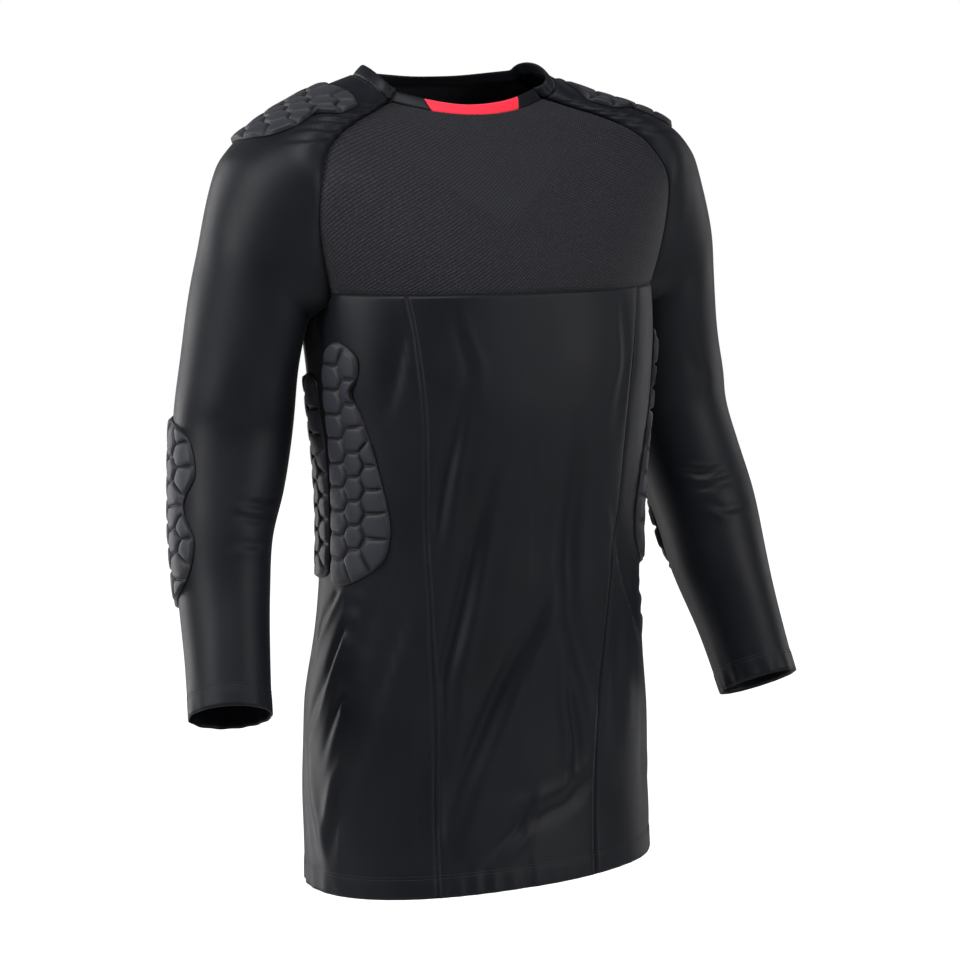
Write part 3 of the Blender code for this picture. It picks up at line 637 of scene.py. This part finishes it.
def addNode(tree, kind, values=None, links=None, **settings):
    node = tree.nodes.new(kind)
    for name, value in settings.items():
        setattr(node, name, value)
    for name, value in (values or {}).items():
        node.inputs[name].default_value = value
    for name, source in (links or {}).items():
        tree.links.new(source, node.inputs[name])
    return node


def newMaterial(name, look):
    material = bpy.data.materials.new(name)
    material.use_nodes = True
    shader = material.node_tree.nodes["Principled BSDF"]
    for socket, key in (("Roughness", "roughness"), ("Specular IOR Level", "specular"),
                        ("Sheen Weight", "sheen")):
        shader.inputs[socket].default_value = look[key]
    shader.inputs["Sheen Roughness"].default_value = look.get("sheenRoughness", 0.4)
    return material, material.node_tree, shader


# fine polyester and elastane jersey, calendered: near black, with a soft satin sheen along its folds
jerseyLook = {"colour": "#08090e", "worn": "#0e1016", "roughness": 0.50, "roughFrom": 0.46, "roughTo": 0.56,
              "specular": 0.15, "sheen": 0.03, "sheenRoughness": 0.35,
              "wale": 0.9, "relief": 0.10}  # real wales are 0.4 mm apart, drawn wider so that they show


def jerseyMaterial():
    look = jerseyLook
    material, tree, shader = newMaterial("knittedPolyesterJersey", look)
    uv = addNode(tree, "ShaderNodeUVMap", uv_map="cloth")
    scaled = addNode(tree, "ShaderNodeMapping", {"Scale": (1 / (look["wale"] * mm),) * 3},
                     {"Vector": uv.outputs["UV"]})
    wales = addNode(tree, "ShaderNodeTexWave", {"Scale": 0.32, "Distortion": 0.6, "Detail": 1.0},
                    {"Vector": scaled.outputs["Vector"]}, wave_type="BANDS", bands_direction="X")
    place = addNode(tree, "ShaderNodeTexCoord")
    cloud = addNode(tree, "ShaderNodeTexNoise", {"Scale": 14.0, "Detail": 3.0, "Roughness": 0.55},
                    {"Vector": place.outputs["Object"]})
    tint = addNode(tree, "ShaderNodeMix", {6: linear(look["colour"]), 7: linear(look["worn"])},
                   {0: cloud.outputs["Fac"]}, data_type="RGBA")
    rough = addNode(tree, "ShaderNodeMapRange",
                    {"From Min": 0.3, "From Max": 0.7, "To Min": look["roughFrom"], "To Max": look["roughTo"]},
                    {"Value": cloud.outputs["Fac"]})
    bump = addNode(tree, "ShaderNodeBump", {"Strength": look["relief"], "Distance": 0.2 * mm},
                   {"Height": wales.outputs["Fac"]})
    tree.links.new(tint.outputs[2], shader.inputs["Base Color"])
    tree.links.new(rough.outputs["Result"], shader.inputs["Roughness"])
    tree.links.new(bump.outputs["Normal"], shader.inputs["Normal"])
    return material


# warp-knitted polyester mesh: eyelets in staggered rows, a little lighter and duller than the jersey; the
# eyelets are not cut and get painted shade, near black like the shirt's inside seen through them
meshLook = {"thread": "#1b1b20", "light": "#27282e", "eyeletShade": "#07070a", "roughness": 0.68, "specular": 0.14,
            "sheen": 0.03, "sheenRoughness": 0.5,
            "pitch": 3.8, "closer": 1.1, "rim": 0.66, "heart": 0.24,  # coarser than the knit, so that it shows
            "speck": 520.0, "relief": 0.55,
            # a denser V of the knit below the neck, and where it fades above its point
            "apexX": -16, "apexZ": -142, "spread": 1.35, "dense": 0.55, "edge": 4, "fadeFrom": 20, "fadeTo": 75,
            "faded": 0.15}


def meshMaterial():
    look = meshLook
    material, tree, shader = newMaterial("warpKnittedPolyesterMesh", look)
    uv = addNode(tree, "ShaderNodeUVMap", uv_map="cloth")
    size = 1 / (look["pitch"] * mm)
    scaled = addNode(tree, "ShaderNodeMapping", {"Scale": (size, size * look["closer"], 1)},
                     {"Vector": uv.outputs["UV"]})
    place = addNode(tree, "ShaderNodeTexCoord")
    onCloth = addNode(tree, "ShaderNodeSeparateXYZ", {}, {"Vector": scaled.outputs["Vector"]})
    inSpace = addNode(tree, "ShaderNodeSeparateXYZ", {}, {"Vector": place.outputs["Object"]})
    found = {"across": onCloth.outputs["X"], "down": onCloth.outputs["Y"], "x": inSpace.outputs["X"],
             "z": inSpace.outputs["Z"]}
    # each step: its name, what it does, and one or two earlier names or numbers
    for name, operation, *given in (
            ("up", "ADD", "across", "down"), ("upTurn", "MULTIPLY", "up", pi), ("upWave", "SINE", "upTurn"),
            ("upSize", "ABSOLUTE", "upWave"), ("low", "SUBTRACT", "across", "down"),
            ("lowTurn", "MULTIPLY", "low", pi), ("lowWave", "SINE", "lowTurn"),
            ("lowSize", "ABSOLUTE", "lowWave"), ("both", "MULTIPLY", "upSize", "lowSize"),
            ("aside", "SUBTRACT", "x", look["apexX"] * mm), ("away", "ABSOLUTE", "aside"),
            ("rise", "SUBTRACT", "z", look["apexZ"] * mm), ("wide", "MULTIPLY", "rise", look["spread"]),
            ("inV", "SUBTRACT", "wide", "away")):
        node = addNode(tree, "ShaderNodeMath", {k: v for k, v in enumerate(given) if not isinstance(v, str)},
                       {k: found[v] for k, v in enumerate(given) if isinstance(v, str)}, operation=operation)
        found[name] = node.outputs[0]
    hole = addNode(tree, "ShaderNodeMapRange", {"From Min": look["rim"], "From Max": look["heart"]},
                   {"Value": found["both"]}, interpolation_type="SMOOTHSTEP")
    specks = addNode(tree, "ShaderNodeTexNoise", {"Scale": look["speck"], "Detail": 2.0},
                     {"Vector": place.outputs["Object"]})
    speck = addNode(tree, "ShaderNodeMapRange", {"From Min": 0.42, "From Max": 0.66},
                    {"Value": specks.outputs["Fac"]})
    zone = addNode(tree, "ShaderNodeMapRange", {"From Max": look["edge"] * mm, "To Max": look["dense"]},
                   {"Value": found["inV"]})
    fade = addNode(tree, "ShaderNodeMapRange",
                   {"From Min": look["fadeFrom"] * mm, "From Max": look["fadeTo"] * mm, "To Min": 1.0,
                    "To Max": look["faded"]}, {"Value": found["rise"]})
    dense = addNode(tree, "ShaderNodeMath", {}, {0: zone.outputs[0], 1: fade.outputs[0]},
                    operation="MULTIPLY")
    thread = addNode(tree, "ShaderNodeMix", {6: linear(look["thread"]), 7: linear(look["light"])},
                     {0: speck.outputs["Result"]}, data_type="RGBA")
    lit = addNode(tree, "ShaderNodeMix", {7: linear(look["light"])},
                  {0: dense.outputs[0], 6: thread.outputs[2]}, data_type="RGBA")
    # near black in the eyelets: painted shade for the shirt's dark inside, seen through holes that are not cut
    colour = addNode(tree, "ShaderNodeMix", {6: linear(look["eyeletShade"])},
                     {0: hole.outputs["Result"], 7: lit.outputs[2]}, data_type="RGBA")
    bump = addNode(tree, "ShaderNodeBump", {"Strength": look["relief"], "Distance": 0.4 * mm},
                   {"Height": hole.outputs["Result"]})
    tree.links.new(colour.outputs[2], shader.inputs["Base Color"])
    tree.links.new(bump.outputs["Normal"], shader.inputs["Normal"])
    return material


# red polyester jersey, piece dyed: flat bright colour with a fine grain
insertLook = {"colour": "#ee263c", "darkGrainAndGrooveShade": "#d81c33", "grain": 1.11, "detail": 2.0, "relief": 0.15,
              "roughness": 0.62, "specular": 0.25, "sheen": 0.15}
# foam cells heat pressed under stretch film: matt charcoal, with painted shade that darkens each cell from its
# top down to black in the grooves between them
padLook = {"colour": "#1f2026", "darkGrainAndGrooveShade": "#0e0e11", "grain": 0.7, "detail": 2.0, "relief": 0.18,
           "roughness": 0.56, "specular": 0.24, "sheen": 0.04, "grooveShadeByHeight": "cellHeight"}
# spun polyester thread, a shade lighter than the cloth that it crosses
threadLook = {"colour": "#1b1b1f", "darkGrainAndGrooveShade": "#0c0c0f", "grain": 0.71, "detail": 1.0, "relief": 0,
              "roughness": 0.55, "specular": 0.3, "sheen": 0.1}


def grainedMaterial(name, look):
    material, tree, shader = newMaterial(name, look)
    place = addNode(tree, "ShaderNodeTexCoord")
    grain = addNode(tree, "ShaderNodeTexNoise", {"Scale": 1 / (look["grain"] * mm), "Detail": look["detail"]},
                    {"Vector": place.outputs["Object"]})
    share = grain
    # on the pads the colour follows the cell height: painted shade, darker the lower the point and black in the
    # grooves
    if "grooveShadeByHeight" in look:
        share = addNode(tree, "ShaderNodeAttribute", attribute_name=look["grooveShadeByHeight"])
    tint = addNode(tree, "ShaderNodeMix", {6: linear(look["darkGrainAndGrooveShade"]), 7: linear(look["colour"])},
                   {0: share.outputs["Fac"]}, data_type="RGBA")
    tree.links.new(tint.outputs[2], shader.inputs["Base Color"])
    if look["relief"]:
        bump = addNode(tree, "ShaderNodeBump", {"Strength": look["relief"], "Distance": 0.2 * mm},
                       {"Height": grain.outputs["Fac"]})
        tree.links.new(bump.outputs["Normal"], shader.inputs["Normal"])
    return material


jersey, meshKnit = jerseyMaterial(), meshMaterial()
redJersey = grainedMaterial("redPolyesterJersey", insertLook)
padFilm = grainedMaterial("heatPressedFoamFilm", padLook)
blackThread = grainedMaterial("spunPolyesterThread", threadLook)
print("materials ready")

# Camera, fitted to the photograph
view = {"azimuth": -28, "elevation": 7, "distance": 4040, "perPixel": 0.92, "frame": 960, "aside": 24.4,
        "lift": -382.7}
a, e = radians(view["azimuth"]), radians(view["elevation"])
backward = Vector((sin(a) * cos(e), -cos(a) * cos(e), sin(e)))
rightward = Vector((cos(a), sin(a), 0))
upward = backward.cross(rightward)
cameraData = bpy.data.cameras.new("camera")
cameraData.sensor_width = 36
cameraData.lens = cameraData.sensor_width * view["distance"] / view["perPixel"] / view["frame"]
cameraData.clip_end = 50
camera = linked("camera", cameraData)
camera.matrix_world = Matrix.Translation(
    (rightward * view["aside"] + upward * view["lift"] + backward * view["distance"]) * mm) @ Matrix(
    (rightward, upward, backward)).transposed().to_4x4()
bpy.context.scene.camera = camera


# Panels of the body, the yokes and the sleeves
outerColumns = yoke["outerColumns"]
ringFrom = yoke["rows"] + sleeve["underarmRows"]
chest, backOfNeck = yokeGrid(), yokeGrid(True)
plain = {"chestYoke": chest, "backYoke": backOfNeck}
finished = {}
for (name, grid), share, shift in zip(plain.items(), wavy["yoke"], (0, 300)):
    finished[name] = dressed(grid, share * waviness(grid[..., 0] + shift, grid[..., 2]))
for name, (grid, angles) in {
        "frontCentrePanel": hang(chest[-1][outerColumns:-outerColumns], seamAngle(0), seamAngle(1)),
        "backPanel": hang(backOfNeck[-1][outerColumns:-outerColumns], seamAngle(2), seamAngle(3)),
        "sidePanelLeft": sidePanelGrid(1), "sidePanelRight": sidePanelGrid(-1)}.items():
    plain[name], finished[name] = grid, dressed(grid, bodyRelief(angles, grid[..., 2]), True)
for side, name in ((1, "sleeveLeft"), (-1, "sleeveRight")):
    stations, turns = sleeveStations()[:, None], np.linspace(0, 1, sleeve["around"] + 1)[None]
    grid = sleevePoint(stations, turns, side)
    seams = np.concatenate((grid[:ringFrom + 1, 0], grid[:ringFrom + 1, -1]))
    grid = evened(grid, stations + 0 * turns, seams)
    relief = sleeveRelief(stations + 0 * turns, turns + 0 * stations, side)
    if side < 0:
        grid, relief = grid[:, ::-1] * (-1, 1, 1), relief[:, ::-1]
    plain[name], finished[name] = grid, dressed(grid, relief, True, ringFrom)
joinSeams(plain, finished)
made = {}
for name, grid in finished.items():
    made[name] = clothShell(name, grid, meshKnit if name.endswith("Yoke") else jersey,
                            ringFrom if name.startswith("sleeve") else None)
print("panels and sleeves made")

# Neck band and red insert, folded strips that stand on the neck edge
band = {"rise": 9.5, "lean": 8.0, "width": 12.4, "halfFoot": 46, "halfTop": 58, "insertSink": 0.3,
        "insertColumns": 60, "bandColumns": 220, "wobble": ((0.25, 23), (0.15, 9.7)),
        # share of the width, and height over the strip's middle
        "section": ((0.02, 0.9), (0.25, 1.15), (0.55, 1.2), (0.82, 1.0), (0.96, 0.55), (1.02, 0.0),
                    (0.98, -0.5), (0.82, -0.85), (0.5, -1.0), (0.2, -1.0), (0.02, -0.9))}


def neckEdge():
    front, back = panels["chestYoke"][0][0], panels["backYoke"][0][0]
    left, right = panels["sleeveLeft"][0][0], panels["sleeveRight"][0][0]
    middle = len(front) // 2
    return np.concatenate((front[middle:-1], left[:-1], back[:-1], right[:-1], front[:middle]))


def bandStrip(name, edge, starts, ends, columns, material, sink=0.0):
    closed = np.vstack((edge, edge[:1]))
    lengths = np.concatenate(((0,), np.cumsum(np.linalg.norm(np.diff(closed, axis=0), axis=1))))

    def edgeAt(length):
        return np.stack([np.interp(length % lengths[-1], lengths, closed[:, k]) for k in range(3)], axis=-1)
    grid, uv = [], []
    for share, level in band["section"]:
        at = np.linspace(blend(*starts, share), blend(*ends, share), columns + 1)
        foot = edgeAt(at)
        inward = unit(foot * (-1, -1, 0))
        across = inward * band["lean"] + np.array((0, 0, band["rise"]))
        outward = unit(np.cross(np.gradient(foot, axis=0), across))
        outward *= np.sign((outward * -inward).sum(axis=-1, keepdims=True))
        wobble = sum(height * np.sin(at / length) for height, length in band["wobble"])
        grid.append(foot + across * share + outward * (level - 1 - sink + wobble[:, None] * share))
        uv.append(np.stack((at, np.full(at.shape, share * band["width"])), axis=-1))
    rows = len(grid)
    points, uv = np.array(grid).reshape(-1, 3), np.array(uv).reshape(-1, 2)
    wide = columns + 1
    faces = [[i * wide + j, i * wide + j + 1, (i + 1) % rows * wide + j + 1, (i + 1) % rows * wide + j]
             for i in range(rows) for j in range(columns)]
    faces += [[i * wide for i in range(rows)], [i * wide + columns for i in reversed(range(rows))]]
    return cleaned(newObject(name, points, faces, material, uv)), lengths[-1]


edge = neckEdge()
foot, top = band["halfFoot"], band["halfTop"]
made["frontInsert"], whole = bandStrip("frontInsert", edge, (-foot, -top), (foot, top),
                                       band["insertColumns"], redJersey, band["insertSink"])
made["neckBand"], _ = bandStrip("neckBand", edge, (foot, top), (whole - foot, whole - top),
                                band["bandColumns"], jersey)
print("neck band made")


# Pads: each hexagon cell swells out of its groove
def hexagonNet(line):
    cell = pads["cell"]
    columnStep, edgeLength = cell * sqrt(3) / 2, cell / sqrt(3)
    low, high = line.min(axis=0), line.max(axis=0)
    cells = []
    for column in range(floor(low[0] / columnStep), ceil(high[0] / columnStep) + 1):
        for row in range(floor(low[1] / cell) - 1, ceil(high[1] / cell) + 1):
            centre = np.array((column * columnStep, row * cell + cell / 2 * (column % 2)))
            if insideOf(line, centre):
                cells.append(centre)
    found, corners, rings = {}, [], []
    for centre in cells:
        ring = []
        for k in range(6):
            corner = centre + edgeLength * np.array((cos(k * pi / 3), sin(k * pi / 3)))
            key = (round(2 * corner[0] / edgeLength), round(2 * corner[1] / cell))
            if key not in found:
                found[key] = len(corners)
                corners.append(corner)
            ring.append(found[key])
        rings.append(ring)
    uses = np.bincount([k for ring in rings for k in ring])
    for k, used in enumerate(uses):
        if used < 3:
            corners[k] = line[np.argmin(np.linalg.norm(line - corners[k], axis=1))]
    return np.array(corners), rings


def padPiece(name, outline, surface, outward):
    line = closedCurve(outline, 24)
    corners, rings = hexagonNet(line)
    uses = {}
    for ring in rings:
        for pair in zip(ring, ring[1:] + ring[:1]):
            uses[frozenset(pair)] = uses.get(frozenset(pair), 0) + 1
    steps, levels, fall = pads["sideSteps"], pads["rings"], pads["round"]
    flat, heights, faces, lower = [], [], [], []
    for ring in rings:
        border = []
        for pair in zip(ring, ring[1:] + ring[:1]):
            for n in range(steps):
                point = blend(corners[pair[0]], corners[pair[1]], n / steps)
                if n and uses[frozenset(pair)] == 1:
                    point = line[np.argmin(np.linalg.norm(line - point, axis=1))]
                border.append(point)
        border = np.array(border)
        middle = border.mean(axis=0)
        spokes = border - middle
        radius = np.linalg.norm(spokes, axis=1, keepdims=True)
        rounded = spokes / radius * np.minimum(radius, radius.mean() * pads["roundTo"])
        first, count = len(flat), len(border)
        for level in levels:
            flat.extend(middle + blend(rounded, spokes, ease((level - 1 + fall) / fall)) * level)
            swell = float(ease((1 - level) / pads["groove"]))
            heights.extend([pads["shoulderOf"] * swell + pads["dome"] * (1 - level ** 2)] * count)
        flat.append(middle)
        heights.append(pads["crown"])
        for n in range(len(levels) - 1):
            for k in range(count):
                m = (k + 1) % count
                faces.append([first + n * count + k, first + n * count + m, first + (n + 1) * count + m,
                              first + (n + 1) * count + k])
        last = first + (len(levels) - 1) * count
        faces += [[last + k, last + (k + 1) % count, len(flat) - 1] for k in range(count)]
        lower.append(list(range(first, first + count)))
    flat, heights = np.array(flat), np.array(heights)
    p, q = flat[:, 0], flat[:, 1]
    across, lengthwise = surface(p + 1, q) - surface(p - 1, q), surface(p, q + 1) - surface(p, q - 1)
    normals = unit(np.cross(across, lengthwise)) * outward
    base = surface(p, q)
    upper = base + normals * (pads["film"] + pads["rise"] * heights)[:, None]
    underneath = base + normals * pads["foot"]
    count = len(flat)
    used = sorted({k for ring in lower for k in ring})
    place = {k: count + n for n, k in enumerate(used)}
    points = np.concatenate((upper, underneath[used]))
    faces += [[place[k] for k in reversed(ring)] for ring in lower]
    edges = {}
    keys = {k: tuple(np.round(flat[k], 2)) for k in used}
    for ring in lower:
        for k, n in zip(ring, ring[1:] + ring[:1]):
            edges[(keys[k], keys[n])] = (k, n)
    faces += [[n, k, place[k], place[n]] for (a, b), (k, n) in edges.items() if (b, a) not in edges]
    if outward < 0:
        faces = [list(reversed(face)) for face in faces]
    piece = newObject(name, points, faces, padFilm)
    # cell heights, which the pad film reads to paint shade into its grooves
    levels = np.clip(np.concatenate((heights, np.zeros(len(used)))), 0, 1).astype(np.float32)
    piece.data.attributes.new("cellHeight", "FLOAT", "POINT").data.foreach_set("value", levels)
    return cleaned(piece, merge=0.03)


def torsoSide(side):
    return lambda p, q: torsoPoint(side * (pi / 2 - p / pads["sideRadius"]), q)


def sleeveSide(side, middleTurn):
    stations, lengths, girths = measures[side]

    def surface(p, q):
        turn = middleTurn - p / np.interp(q, lengths, girths)
        return sleevePoint(np.interp(q, lengths, stations), turn, side) * (side, 1, 1)
    return surface


for side, word in ((1, "Left"), (-1, "Right")):
    for kind, outline, surface, outward in (
            ("ribPadFront", pads["ribFront"], torsoSide(side), -side),
            ("ribPadBack", pads["ribBack"], torsoSide(side), -side),
            ("elbowPad", pads["elbowPad"], sleeveSide(side, pads["elbowTurn"][side]), side),
            ("shoulderPad", pads["shoulder"], sleeveSide(side, 0.5), side)):
        made[kind + word] = padPiece(kind + word, outline, surface, outward)
print("pads made")


# Stitches: one tree lays small rounded stitches along a seam line
def stitchTree():
    tree = bpy.data.node_groups.new("stitchRun", "GeometryNodeTree")
    for name, kind in (("Seam line", "Geometry"), ("Pitch", "Float"), ("Length", "Float"), ("Width", "Float"),
                       ("Tilt", "Float"), ("Thread", "Material")):
        tree.interface.new_socket(name=name, in_out="INPUT", socket_type="NodeSocket" + kind)
    tree.interface.new_socket(name="Stitches", in_out="OUTPUT", socket_type="NodeSocketGeometry")
    given = addNode(tree, "NodeGroupInput")
    line = addNode(tree, "GeometryNodeMeshToCurve", {}, {"Mesh": given.outputs["Seam line"]})
    spaced = addNode(tree, "GeometryNodeResampleCurve", {},
                     {"Curve": line.outputs["Curve"], "Length": given.outputs["Pitch"]}, mode="LENGTH")
    bead = addNode(tree, "GeometryNodeMeshUVSphere", {"Segments": 6, "Rings": 4, "Radius": 0.5})
    tangent = addNode(tree, "GeometryNodeInputTangent")
    outward = addNode(tree, "GeometryNodeInputNamedAttribute", {"Name": "outward"}, data_type="FLOAT_VECTOR")
    alongRun = addNode(tree, "FunctionNodeAlignRotationToVector", {}, {"Vector": tangent.outputs[0]},
                       axis="X")
    lifted = addNode(tree, "FunctionNodeAlignRotationToVector", {},
                     {"Rotation": alongRun.outputs[0], "Vector": outward.outputs[0]}, axis="Z", pivot_axis="X")
    lean = addNode(tree, "FunctionNodeRandomValue", {"Seed": 4}, {3: given.outputs["Tilt"]},
                   data_type="FLOAT")
    spin = addNode(tree, "ShaderNodeCombineXYZ", {}, {"Z": lean.outputs[1]})
    asRotation = addNode(tree, "FunctionNodeEulerToRotation", {}, {0: spin.outputs[0]})
    turned = addNode(tree, "FunctionNodeRotateRotation", {}, {0: lifted.outputs[0], 1: asRotation.outputs[0]},
                     rotation_space="LOCAL")
    size = addNode(tree, "ShaderNodeCombineXYZ", {},
                   {"X": given.outputs["Length"], "Y": given.outputs["Width"], "Z": given.outputs["Width"]})
    laid = addNode(tree, "GeometryNodeInstanceOnPoints", {},
                   {"Points": spaced.outputs[0], "Instance": bead.outputs[0], "Rotation": turned.outputs[0],
                    "Scale": size.outputs[0]})
    real = addNode(tree, "GeometryNodeRealizeInstances", {}, {0: laid.outputs[0]})
    coloured = addNode(tree, "GeometryNodeSetMaterial", {},
                       {"Geometry": real.outputs[0], "Material": given.outputs["Thread"]})
    addNode(tree, "NodeGroupOutput", {}, {"Stitches": coloured.outputs[0]})
    return tree


stitch = {"pitch": 2.6, "length": 2.1, "width": 0.55, "tilt": 0.12, "inset": 2.4, "proud": 0.12}
runTree = stitchTree()


# points and outward directions along one side of a panel, at a distance in from its edge
def runIn(name, side, inset):
    grid, normals = panels[name]
    if side in ("right", "bottom"):
        grid, normals = grid[::-1, ::-1], normals[::-1, ::-1]
    if side in ("top", "bottom"):
        grid, normals = grid.transpose(1, 0, 2), normals.transpose(1, 0, 2)
    points, outs = ([[np.interp(inset, length, row[:, k]) for k in range(3)]
                     for row, length in zip(rows, edgeDistances(grid)[0])] for rows in (grid, normals))
    return np.array(points), unit(np.array(outs))


def stitchPiece(name, runs):
    points, outs, edges = [], [], []
    for line, out in runs:
        start = len(points)
        points.extend(line + out * stitch["proud"])
        outs.extend(out)
        edges += [(start + k, start + k + 1) for k in range(len(line) - 1)]
    mesh = bpy.data.meshes.new(name + "Line")
    mesh.from_pydata((np.array(points) * mm).tolist(), edges, [])
    mesh.attributes.new("outward", "FLOAT_VECTOR", "POINT").data.foreach_set(
        "vector", np.array(outs).astype(np.float32).ravel())
    seam = linked(name + "Line", mesh)
    modifier = seam.modifiers.new("stitches", "NODES")
    modifier.node_group = runTree
    keys = {s.name: s.identifier for s in runTree.interface.items_tree if s.in_out == "INPUT"}
    for key, value in (("Pitch", stitch["pitch"] * mm), ("Length", stitch["length"] * mm),
                       ("Width", stitch["width"] * mm), ("Tilt", stitch["tilt"]), ("Thread", blackThread)):
        modifier[keys[key]] = value
    ready = bpy.context.evaluated_depsgraph_get()
    plain = bpy.data.meshes.new_from_object(seam.evaluated_get(ready))
    seam.modifiers.clear()
    bpy.data.objects.remove(seam)
    plain.name = name
    plain.shade_smooth()
    return linked(name, plain)


bodyPanels = ("frontCentrePanel", "sidePanelLeft", "backPanel", "sidePanelRight")
yokes, sleeves = ("chestYoke", "backYoke"), ("sleeveLeft", "sleeveRight")
inset, hemInsets = stitch["inset"], hemLook["stitched"]
stitches = {
    "chestSeamStitches": [runIn(n, "bottom", inset) for n in yokes],
    "raglanStitches": [runIn(n, s, inset) for n in yokes for s in ("left", "right")],
    "princessStitches": [runIn(n, s, inset) for n in bodyPanels[::2] for s in ("left", "right")],
    "neckStitches": [runIn(n, "top", inset) for n in yokes + sleeves],
    "hemStitches": [runIn(n, "bottom", d) for n in bodyPanels for d in hemInsets],
    "cuffStitches": [runIn(n, "bottom", d) for n in sleeves for d in hemInsets],
}
for name, runs in stitches.items():
    made[name] = stitchPiece(name, runs)
print("stitches laid")

# What each piece stands for: node, slot, cut width and length in metres, share of that rectangle
cloth = {
    "chestYoke": ("chest_yoke", "mesh_knit", (0.40, 0.22), 0.74),
    "backYoke": ("back_yoke", "mesh_knit", (0.36, 0.20), 0.74),
    "frontCentrePanel": ("front_centre_panel", "jersey", (0.24, 0.56), 0.72),
    "backPanel": ("back_panel", "jersey", (0.21, 0.56), 0.83),
    "sidePanelLeft": ("side_panel_left", "jersey", (0.26, 0.56), 0.84),
    "sidePanelRight": ("side_panel_right", "jersey", (0.26, 0.56), 0.84),
    "sleeveLeft": ("sleeve_left", "jersey", (0.36, 0.66), 0.69),
    "sleeveRight": ("sleeve_right", "jersey", (0.36, 0.65), 0.68),
    "neckBand": ("neck_band", "neck_rib", (0.42, 0.013), 1.0),
    "frontInsert": ("front_insert", "red_insert", (0.11, 0.013), 1.0),
}
for name, (node, slotName, flat, share) in cloth.items():
    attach(made[name], "root")
    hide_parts(node)
    area = sum(p.area for p in made[name].data.polygons) / 2
    print("cloth", name, "one layer", round(area, 4), "flat", round(flat[0] * flat[1] * share, 4))
for kind, node in (("ribPadFront", "rib_pad_front_"), ("ribPadBack", "rib_pad_back_"),
                   ("elbowPad", "elbow_pad_"), ("shoulderPad", "shoulder_pad_")):
    for word in ("Left", "Right"):
        piece = made[kind + word]
        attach(piece, "root")
        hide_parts(node + word.lower())
for name in stitches:
    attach(made[name], "root")

# Pale floor and soft studio light
studio = {
    "floorZ": -1.6, "reach": 9, "floor": "#f4f4f5", "floorGlow": (0.08, 1.05), "backdropGlow": (0.10, 1.0),
    "roughness": 0.9, "specular": 0.1, "sheen": 0.0, "middle": (0, -0.05, -0.38),
    # metres from the middle of the shirt: to the right of the camera, up, towards it; then size and watts
    "lights": {"keyLeft": ((-1.9, 0.9, 1.2), (0.8, 1.8), 62), "fillRight": ((2.0, 0.5, 1.1), (0.7, 1.6), 30),
               "frontTop": ((-0.1, 2.1, 1.5), (1.4, 0.8), 60), "rimLeft": ((-1.6, 0.2, -1.0), (0.6, 1.8), 25),
               "rimRight": ((1.6, 0.3, -1.3), (0.6, 1.8), 8)},
}


# shines brightly to the camera and dimly on the cloth, like white paper
def paperGlow(tree, glow, strength):
    seen = addNode(tree, "ShaderNodeLightPath")
    level = addNode(tree, "ShaderNodeMapRange", {"To Min": glow[0], "To Max": glow[1]},
                    {"Value": seen.outputs["Is Camera Ray"]})
    tree.links.new(level.outputs["Result"], strength)


reach = studio["reach"]
floorMesh = bpy.data.meshes.new("floor")
corners = [(x * reach, y * reach, studio["floorZ"]) for x, y in ((-1, -1), (1, -1), (1, 1), (-1, 1))]
floorMesh.from_pydata(corners, [], [(0, 1, 2, 3)])
floorMaterial, floorTree, floorShader = newMaterial("paintedStudioFloor", studio)
floorShader.inputs["Base Color"].default_value = linear(studio["floor"])
floorShader.inputs["Emission Color"].default_value = (1, 1, 1, 1)
paperGlow(floorTree, studio["floorGlow"], floorShader.inputs["Emission Strength"])
floorMesh.materials.append(floorMaterial)
floor = linked("floor", floorMesh)

world = bpy.data.worlds.new("studio")
world.use_nodes = True
background = world.node_tree.nodes["Background"]
background.inputs["Color"].default_value = (1, 1, 1, 1)
paperGlow(world.node_tree, studio["backdropGlow"], background.inputs["Strength"])
bpy.context.scene.world = world

middle = Vector(studio["middle"])
for name, (place, size, watts) in studio["lights"].items():
    data = bpy.data.lights.new(name, "AREA")
    data.shape, data.size, data.size_y, data.energy = "RECTANGLE", size[0], size[1], watts
    light = linked(name, data)
    light.location = middle + rightward * place[0] + upward * place[1] + backward * place[2]
    light.rotation_euler = (light.location - middle).to_track_quat("Z", "Y").to_euler()
bpy.context.scene.view_settings.view_transform = "Standard"
print("stage and lights set")

print("triangles", sum(len(p.vertices) - 2 for name in made for p in made[name].data.polygons))
